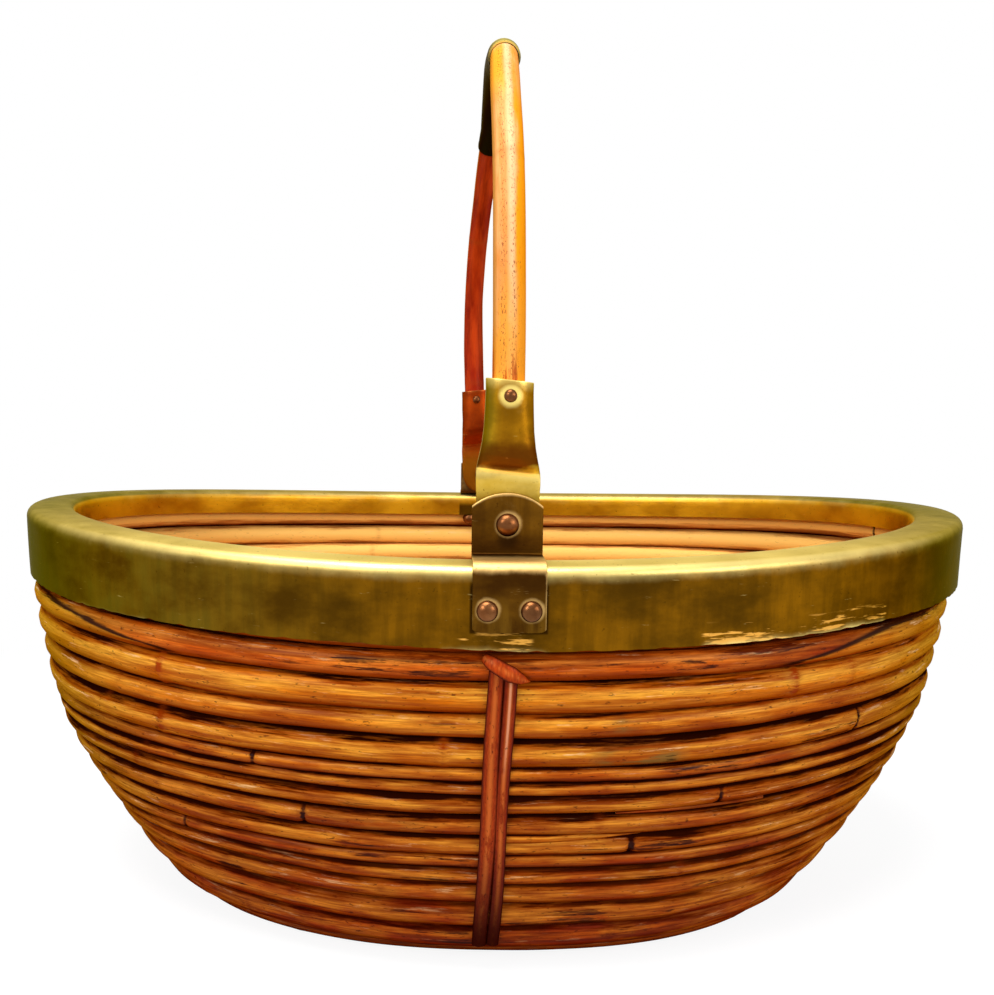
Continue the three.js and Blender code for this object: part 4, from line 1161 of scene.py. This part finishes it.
# Each section: height over the pivot, width, depth, squareness and how bright it is from wear, with painted highlights
# on the top rim and the crease
FERRULE_SECTIONS = np.array([
    (0.0542, 0.0179, 0.0158, 0.80, 0.9), (0.0537, 0.0181, 0.0159, 0.80, 0.5), (0.0500, 0.0180, 0.0158, 0.78, 0.15),
    (0.0430, 0.0184, 0.0158, 0.75, 0.1), (0.0360, 0.0190, 0.0157, 0.70, 0.1), (0.0300, 0.0203, 0.0152, 0.62, 0.0),
    (0.0260, 0.0218, 0.0132, 0.58, 0.0), (0.0228, 0.0232, 0.0092, 0.52, 0.0), (0.0206, 0.0240, 0.0052, 0.45, 0.3),
    (0.0200, 0.0242, 0.0042, 0.40, 0.9), (0.0188, 0.0244, 0.0030, 0.35, 0.75), (0.0160, 0.0245, 0.0023, 0.30, 0.4),
    (0.0100, 0.0240, 0.0020, 0.28, 0.2), (0.0030, 0.0232, 0.0020, 0.28, 0.1),
])
TONGUE_DEPTH, TONGUE_WIDTH, LEAST_WIDTH = 0.0113, 0.0226, 0.0012
RING_POINTS, SOCKET_TOP, RIVET_UP = 56, 0.055, 0.0484
NEAR_LEG_SHIFT = 0.0002
FAR_LEG_SHIFTS = ([0, 0.020, 0.030, 0.043, 0.054], [-0.0008, -0.0008, -0.0028, -0.0040, -0.0044])


def leg_shift(side, up):
    """How far the old handle has crept sideways at a height over the hinge; laid down, it still clears the rim."""
    if side > 0:
        return NEAR_LEG_SHIFT * (0.35 + 0.65 * held(up / SOCKET_TOP))
    return float(np.interp(up, *FAR_LEG_SHIFTS))


def ferrule_mesh(side):
    keys = np.arange(len(FERRULE_SECTIONS))
    rows = [[np.interp(t, keys, column) for column in FERRULE_SECTIONS.T] for t in np.linspace(0, keys[-1], 53)]
    rows += [(-TONGUE_DEPTH * math.sin(angle), max(TONGUE_WIDTH * math.cos(angle), LEAST_WIDTH), 0.0020, 0.28, 0.1)
             for angle in np.linspace(0, math.pi / 2, 9)[1:]]
    vertices, rub_glint, inner = [], [], []
    for up, width, depth, square, rub_glint_here in rows:
        for t in full_turn(RING_POINTS):
            across = math.copysign(abs(math.cos(t)) ** square, math.cos(t)) * width / 2
            out = math.copysign(abs(math.sin(t)) ** square, math.sin(t)) * depth / 2
            askew = -0.1 * across * held((up - 0.008) / 0.01)
            vertices.append((side * across + leg_shift(side, up), -side * (LEG_OFFSET + out),
                             PIVOT_HEIGHT + up + askew))
            rub_glint.append(max(rub_glint_here, 0.45 * (abs(math.cos(t)) > 0.985)) if out > 0 else 0.3 * rub_glint_here)
            inner.append(1.0 if out < 0 else 0.0)
    return vertices, loop_faces(len(rows), RING_POINTS, False), rub_glint, inner


def ferrule_zones(tone, place, out):
    """Brown painted shade above the crease, a pale painted reflection of the sky on the beaten plate, olive up one
    side, and a red painted reflection of the cane inside.
    """
    x, _, z = split(place)
    up = z - PIVOT_HEIGHT + (out["Clouds"] - 0.5) * 0.006
    # crease_shade: painted shade under the bulge of the socket, above the crease.
    crease_shade = ramp(up, 0.019, 0.022) * ramp(up, 0.027, 0.036, 1.0, 0.0)
    # plate_sheen_tone: pale near the crease as a painted reflection of the sky, olive lower down.
    plate_sheen_tone = mix(ramp(up, 0.008, 0.019), (112, 82, 12), (200, 160, 44))
    # dull paints a red reflection of the cane onto the inner side of the ferrule, browner lower down.
    dull = mix(out["Clouds"], (112, 32, 8), (160, 62, 12))
    dull = coats(dull, (ramp(up, 0.008, 0.026, 1.0, 0.0), (142, 84, 12)))
    return coats(tone, (ramp(x, -0.009, -0.002, 0.75, 0.0), (112, 100, 18)), (crease_shade * 0.9, (92, 44, 6)),
                 (ramp(up, 0.019, 0.022, 1.0, 0.0), plate_sheen_tone), (mark(tone.tree, "inner"), dull))


ferrule_brass = brass_finish("ferrule_brass", (122, 80, 8), (184, 126, 18), (244, 216, 120),
                             halos=[((NEAR_LEG_SHIFT, PIVOT_HEIGHT + RIVET_UP), 0.0022, 0.0062)],
                             zones=ferrule_zones, rough=0.34)
for label, side in SIDES:
    vertices, faces, rub_glint, inner = ferrule_mesh(side)
    mesh_piece(f"{label}_socket", vertices, faces, ferrule_brass, "handle", [f"{label}_ferrule"], "aged_brass",
               rubbed=rub_glint, inner=inner)
print("Ferrule points:", len(vertices))

# %% [markdown]
# ## The handle
#
# One bent cane makes the handle: two straight legs and half a circle. The same
# cane tree draws it from that line. Years of carrying have bowed the far leg
# sideways, and the line follows that bow, eased until it has no kinks.

# %% Handle
ARCH_CENTRE = FRONT_CROWN + 0.0765
LEG_FOOT = PIVOT_HEIGHT + 0.0253
# Shares of the way from the near foot to the far one, and the sideways wander there
HANDLE_SWAY = (
    [0, 0.3, 0.35, 0.4, 0.45, 0.5, 0.57, 0.62, 0.66, 0.7, 0.78, 0.84, 0.9, 0.95, 1],
    [-0.0002, -0.0006, 0.0, 0.001, 0.0011, 0.0008, 0.0012, 0.0013, -0.0004, -0.0022, -0.0055, -0.007, -0.0065,
     -0.0054, -0.0036],
)
LEG_RADII = ([0.66, 0.72, 0.84, 0.9], [0.0062, 0.0057, 0.0057, 0.0062])
HANDLE_RINGS = [(0.118, 0.3), (0.245, 0.4), (0.415, 0.5), (0.508, 0.3)]
foot_turns = (LEG_FOOT - ARCH_CENTRE) / LEG_OFFSET


def handle_sway(turn_angle):
    """The sideways wander of the cane at an angle round the arch."""
    return float(np.interp((turn_angle - foot_turns) / (math.pi - 2 * foot_turns), *HANDLE_SWAY))


line = []
for turn_angle in np.linspace(foot_turns, math.pi - foot_turns, 300):
    bend = min(max(turn_angle, 0.0), math.pi)
    straight = min(turn_angle, 0.0) + min(math.pi - turn_angle, 0.0)
    line.append((handle_sway(turn_angle), -LEG_OFFSET * math.cos(bend),
                 ARCH_CENTRE + LEG_OFFSET * (math.sin(bend) + straight)))
for _ in range(30):
    eased = [((a[0] + 2 * b[0] + c[0]) / 4, b[1], b[2]) for a, b, c in zip(line, line[1:], line[2:])]
    line = [line[0]] + eased + [line[-1]]
handle_mesh = line_mesh(line, np.interp(np.linspace(0, 1, len(line)), *LEG_RADII), 0.0, rings=HANDLE_RINGS)
hand_over(grow("bent_cane", cane_tree, handle_mesh, {
    "Waviness": 0.00015, "Unevenness": 0.03, "Level Axis": (-1, 0, 0), "Sides": 24, "Seed": 17.0,
    "Finish": leg_finish, "Ring Height": 0.00015,
}), ["handle_cane"], "handle")
print("Handle cane, mm:", round(1000 * lengths_along(np.array(line))[-1]))

# %% [markdown]
# ## The grip
#
# A brass sleeve wraps the top of the arch, where the hand takes hold. It is a
# bent tube with a turned lip at each end, bright on top partly from wear and
# partly as painted highlight, and painted shade makes it nearly black underneath.
# It follows the cane inside it.

# %% Grip sleeve
SLEEVE_NEAR, SLEEVE_FAR, SLEEVE_STEPS, SLEEVE_SIDES = 0.43, 0.53, 90, 32
sleeve_turns = np.linspace(math.pi / 2 - SLEEVE_NEAR, math.pi / 2 + SLEEVE_FAR, SLEEVE_STEPS)
vertices, rub_glint = [], []
for layer, radius in (("outer", 0.0072), ("inner", 0.0065)):
    for turn_angle in sleeve_turns if layer == "outer" else sleeve_turns[::-1]:
        end = min(turn_angle - sleeve_turns[0], sleeve_turns[-1] - turn_angle) * LEG_OFFSET
        lip = 0.0001 * math.exp(-((end - 0.0014) / 0.0008) ** 2) if layer == "outer" else 0
        for t in full_turn(SLEEVE_SIDES):
            reach = LEG_OFFSET + (radius + lip) * math.cos(t)
            vertices.append((handle_sway(turn_angle) + (radius + lip) * math.sin(t),
                             -reach * math.cos(turn_angle), ARCH_CENTRE + reach * math.sin(turn_angle)))
            # Bright on top, partly from the hand's wear and partly as painted highlight, and worn at both lips.
            rub_glint.append(0.6 * max(0.0, math.cos(t)) + 0.35 * (end < 0.0025) * (math.cos(t) > -0.2))


def sleeve_zones(tone, place, out):
    """Painted shade makes it nearly black underneath, under the arch."""
    spot = vectors("SUBTRACT", place, (0.0, 0.0, ARCH_CENTRE))
    reach = vectors("LENGTH", vectors("MULTIPLY", spot, (0, 1, 1)))
    return coats(tone, (ramp(reach, LEG_OFFSET - 0.002, LEG_OFFSET + 0.004, 1.0, 0.0), (26, 22, 8)))


sleeve_brass = brass_finish("sleeve_brass", (58, 46, 10), (112, 92, 22), (226, 210, 120), zones=sleeve_zones, rough=0.4)
mesh_piece("grip_tube", vertices, loop_faces(2 * SLEEVE_STEPS, SLEEVE_SIDES, True), sleeve_brass, "handle",
           ["grip_sleeve"], "aged_brass", rubbed=rub_glint)
print("Handle top at", round(max(v[2] for v in vertices), 4), "m")

# %% [markdown]
# ## Rivets
#
# Copper rivets hold the straps and close the hinges. Each kind is turned once as
# a profile, and a small node tree sets a copy at every point with its own twist
# and a few hammer marks.

# %% Rivets
RIVET_INPUTS = [
    ("Points", "NodeSocketGeometry", None), ("Rivet", "NodeSocketObject", None),
    ("Hammering", "NodeSocketFloat", 0.00012), ("Seed", "NodeSocketInt", 4), ("Finish", "NodeSocketMaterial", None),
]
RIVET_SIDES = 28


def build_rivet_tree():
    tree, ask, result = new_tree("rivets at points", "GeometryNodeTree", RIVET_INPUTS,
                                 [("Rivets", "NodeSocketGeometry")])
    shape = node(tree, "GeometryNodeObjectInfo", {"Object": ask["Rivet"]}, "Geometry")
    twist = node(tree, "FunctionNodeRandomValue", {2: 0.0, 3: 6.28, "Seed": ask["Seed"]}, 1, data_type="FLOAT")
    feeds = {0: join(tree, y=twist), 1: join(tree, z=named(tree, "facing"))}
    turned = node(tree, "FunctionNodeRotateRotation", feeds, rotation_space="GLOBAL")
    feeds = {"Points": ask["Points"], "Instance": shape, "Rotation": turned}
    solid = node(tree, "GeometryNodeRealizeInstances", {"Geometry": node(tree, "GeometryNodeInstanceOnPoints", feeds)})
    place = node(tree, "GeometryNodeInputPosition")
    dimples = node(tree, "ShaderNodeTexVoronoi", {"Vector": place, "Scale": 620.0}, "Distance", feature="SMOOTH_F1")
    push = vectors("SCALE", node(tree, "GeometryNodeInputNormal"), Scale=(dimples - 0.6) * ask["Hammering"])
    solid = node(tree, "GeometryNodeSetPosition", {"Geometry": solid, "Offset": push})
    dress_and_give(solid, ask["Finish"], result)
    return tree


rivet_tree = build_rivet_tree()


def turned_rivet(head, shank, grip):
    """A domed head on a shank with a spread tail, turned about the Y axis, head towards -Y."""
    tail = shank / 2 + 0.0009
    profile = [(0.5 * head * math.cos(t), 0.34 * head * math.sin(t)) for t in np.radians(np.linspace(88, 0, 11))]
    profile += [(0.49 * head, -0.0001), (shank / 2, -0.0001), (shank / 2, -grip), (tail, -grip),
                (tail * 0.95, -grip - 0.0006), (tail * 0.6, -grip - 0.0011), (tail * 0.1, -grip - 0.0012)]
    vertices = [(r * math.cos(t), -y, r * math.sin(t)) for r, y in profile for t in full_turn(RIVET_SIDES)]
    mesh = bpy.data.meshes.new("turned rivet")
    mesh.from_pydata(vertices, [], loop_faces(len(profile), RIVET_SIDES, False))
    face_outwards(mesh)
    mesh.shade_smooth()
    return mesh


def copper_finish(name, dark, warm, bright):
    finish, tree = new_finish(name)
    feeds = {"Place": object_place(tree), "Rubbed": 0.3}
    out = node(tree, "ShaderNodeGroup", feeds, None, node_tree=patina_group)
    tone = coats(mix(out["Clouds"], dark, warm), (out["Shine"], bright), (out["Pits"] * 0.7, (48, 22, 10)))
    metal_skin(tone, out["Clouds"] * 0.15 + 0.24, out["Height"], 0.4, 0.0003)
    return finish


def set_rivets(name, body, head, shank, grip, places, replaced, finish):
    """places: x, y of the face under the head, and height; a rivet faces the way its y points."""
    pattern = bpy.data.objects.new("pattern", turned_rivet(head, shank, grip))
    mesh = bpy.data.meshes.new("points")
    mesh.from_pydata(places, [], [])
    add_marks(mesh, {"facing": [0.0 if y < 0 else math.pi for _, y, _ in places]})
    piece = grow(name, rivet_tree, mesh, {"Rivet": pattern, "Finish": finish})
    bpy.data.objects.remove(pattern)
    hand_over(piece, replaced, body)


copper = copper_finish("rivet_copper", (60, 26, 8), (108, 54, 20), (210, 150, 96))
dull_copper = copper_finish("dull_copper", (58, 26, 12), (96, 50, 26), (176, 120, 72))
STRAP_FACE, EAR_FACE, SOCKET_FACE = BAND_HALF_WIDTH + HUG + STRAP, BAND_HALF_WIDTH - EAR_SETBACK, LEG_OFFSET + 0.0081
set_rivets("rim_rivets", "basket", 0.0080, 0.004, 0.0226,
           [(x, y, z) for x, z in RIM_RIVETS for y in (-STRAP_FACE, STRAP_FACE)],
           [f"{end}_rim_rivet_{hand}" for end in ("front", "back") for hand in ("left", "right")], copper)
set_rivets("hinge_rivets", "basket", 0.0088, 0.005, 0.0058,
           [(0, y, PIVOT_HEIGHT) for y in (-EAR_FACE - 0.0003, EAR_FACE + 0.0003)],
           ["front_pivot_rivet", "back_pivot_rivet"], copper)
set_rivets("ferrule_rivets", "handle", 0.0050, 0.003, 0.0164,
           [(leg_shift(side, RIVET_UP), -side * SOCKET_FACE, PIVOT_HEIGHT + RIVET_UP) for _, side in SIDES],
           ["front_ferrule_rivet", "back_ferrule_rivet"], dull_copper)
for name, cad_node in nodes.items():
    if "burr" in name:
        cad_node.data.materials.clear()
        cad_node.data.materials.append(copper)
print("Rivets set")

# %% [markdown]
# ## Binding strips
#
# Two split canes run down the front over all the rows and are tied off under the
# band; the back has the same pair. A split cane is flat behind and rounded in
# front. Its line is read off the rows themselves, so it lies on every one of them.

# %% Strip line
STRIP_STEPS, OFF_ROWS = 150, 0.0004


def spread(values, count):
    """Evenly spaced points on a smooth line through a few points."""
    def along(points, number):
        run = lengths_along(points)
        spots = np.linspace(0, run[-1], number)
        return np.stack([np.interp(spots, run, column) for column in points.T], axis=1)

    line = along(np.array(values, float), 12 * len(values))
    for _ in range(3):
        line[1:-1] = (line[:-2] + 2 * line[1:-1] + line[2:]) / 4
    return along(line, count)


def wall_line():
    """Out and up of the outermost face of each row under the band, from the skirt to the ground."""
    line = []
    for size in (hoops[name] for name in ROWS[2:]):
        lean, radius = size["side_lean"], size["side_radius"] + OFF_ROWS
        line.append((size["half_width"] + radius * math.cos(lean), size["side_height"] - radius * math.sin(lean)))
    return line


def ribbon(path, out_way, width, crown):
    """Rings of a strip that is flat behind and rounded in front, along a path."""
    path = np.array(path)
    tangent = np.gradient(path, axis=0)
    tangent /= np.linalg.norm(tangent, axis=1)[:, None]
    side_way = np.cross(tangent, np.array(out_way))
    side_way /= np.linalg.norm(side_way, axis=1)[:, None]
    out_way = np.cross(side_way, tangent)
    vertices, crest = [], []
    for i, place in enumerate(path):
        wide = width[i] / 2
        shape = [(wide * math.cos(t), crown * (0.35 + 0.65 * math.sin(t))) for t in np.linspace(0, math.pi, 9)]
        shape += [(-0.9 * wide, 0.0), (0.0, 0.0), (0.9 * wide, 0.0)]
        for across, out in shape:
            vertices.append(place + across * side_way[i] + out * out_way[i])
            crest.append(1 - abs(across) / wide if out > 0 else 0.0)
    return vertices, loop_faces(len(path), 12, False), crest


# %% [markdown]
# ## The finish of the strips
#
# Split cane takes the varnish dark and red. An orange highlight is painted along
# its crest, shade along its edges and a pale highlight on the ridge of one strip
# high up, and it turns almost black near the ground.

# %% Strip finish


def strip_finish():
    finish, tree = new_finish("binding_cane")
    x, y, z = split(object_place(tree))
    out = fibre_effects(tree, join(tree, z, x, y), 3.0)
    crest, orange = mark(tree, "crest"), mark(tree, "orange")
    # glow paints an orange highlight along the crest.
    glow = ramp(crest, 0.45, 1.0) * ramp(out["Stains"], 0.1, 0.7, 0.75, 0.1)
    # ridge_highlight: a pale painted highlight on the ridge of the plainer strip, high up.
    ridge_highlight = ramp(crest, 0.72, 0.95) * ramp(orange, 0.3, 0.5, 0.85, 0.0)
    # The ramp on crest near zero paints shade along the edges of the strip.
    tone = coats(
        mix(out["Blotch"], (122, 28, 6), (158, 52, 14)), (orange, (186, 66, 14)), (out["Fibre"] * 0.5, (92, 18, 4)),
        (glow, (216, 110, 44)), (ramp(crest, 0.0, 0.4, 0.9, 0.0), (52, 8, 2)),
        (ridge_highlight * ramp(z, 0.088, 0.115), (236, 160, 120)), (ramp(z, 0.014, 0.072, 0.97, 0.0), (50, 7, 2)),
        (out["Specks"] * 0.6, (36, 6, 2)))
    cane_skin(tone, out, 0.28, 0.3, dirt=ramp(z, 0.004, 0.055, 0.9, 0.0))
    return finish


strip_cane = strip_finish()

# %% [markdown]
# ## Laying the strips
#
# The two strips of a pair are neither equally wide nor quite straight: they
# start side by side under the band and drift to one side on the way down.

# %% Strips
# Hand, offset at the top, further offset at the foot, width, crown, how orange
STRIPS = [("left", -0.0040, -0.0036, 0.0062, 0.0021, 0.55), ("right", 0.0012, -0.0034, 0.0050, 0.0016, 0.1)]
line = spread(wall_line(), STRIP_STEPS)
slope = np.gradient(line, axis=0)
slope /= np.linalg.norm(slope, axis=1)[:, None]
share = np.linspace(0, 1, STRIP_STEPS)


def strip_piece(name, points, ways, width, crown, orange, replaced):
    vertices, faces, crest = ribbon(points, ways, width, crown)
    mesh_piece(name, vertices, faces, strip_cane, "basket", [replaced], "binding_cane",
               crest=crest, orange=orange * np.ones(len(vertices)))


for label, side in SIDES:
    for hand, offset, drift_down, wide, crown, orange in STRIPS:
        sway = 0.0003 * np.sin(9 * share + offset * 900)
        points = [(side * (offset + drift_down * t + s), -side * out, up) for (out, up), t, s in zip(line, share, sway)]
        ways = [(0.0, -side * abs(rise), -abs(run)) for run, rise in slope]
        width = wide * (1 + 0.05 * np.sin(7 * share + offset * 500))
        strip_piece(f"{label}_split_cane_{hand}", points, ways, width, crown, orange, f"{label}_strip_{hand}")
print("Strip length, mm:", round(1000 * float(lengths_along(line)[-1])))

# %% [markdown]
# ## The tie
#
# The end of one strip is drawn on the slant across both, over the top row, and
# tucked in beside them. It narrows to a point where it goes under.

# %% Tie under the band
TIE_STEPS, TIE_CROWN = 40, 0.0017
row = hoops["wall_hoop_03"]
reach = row["side_radius"] + OFF_ROWS
share = np.linspace(0, 1, TIE_STEPS)
across = -0.0078 + 0.0150 * share
height = row["side_height"] + 0.0036 - 0.0082 * share
bulge = 0.0006 + 0.0026 * np.sin(math.pi * share) ** 0.6
width = np.interp(share, [0, 0.15, 0.6, 0.85, 1], [0.0040, 0.0056, 0.0062, 0.0042, 0.0006])
for label, side in SIDES:
    points = []
    for x, z, lift in zip(across, height, bulge):
        drop = (z - row["side_height"]) / reach
        face = row["half_width"] + reach * math.sqrt(max(0.05, 1 - min(1, abs(drop)) ** 2))
        points.append((side * x, -side * (face + lift), z))
    strip_piece(f"{label}_tie", points, [(0, -side, 0.12)] * TIE_STEPS, width, TIE_CROWN, 1.0, f"{label}_strip_knot")
print("Ties set")
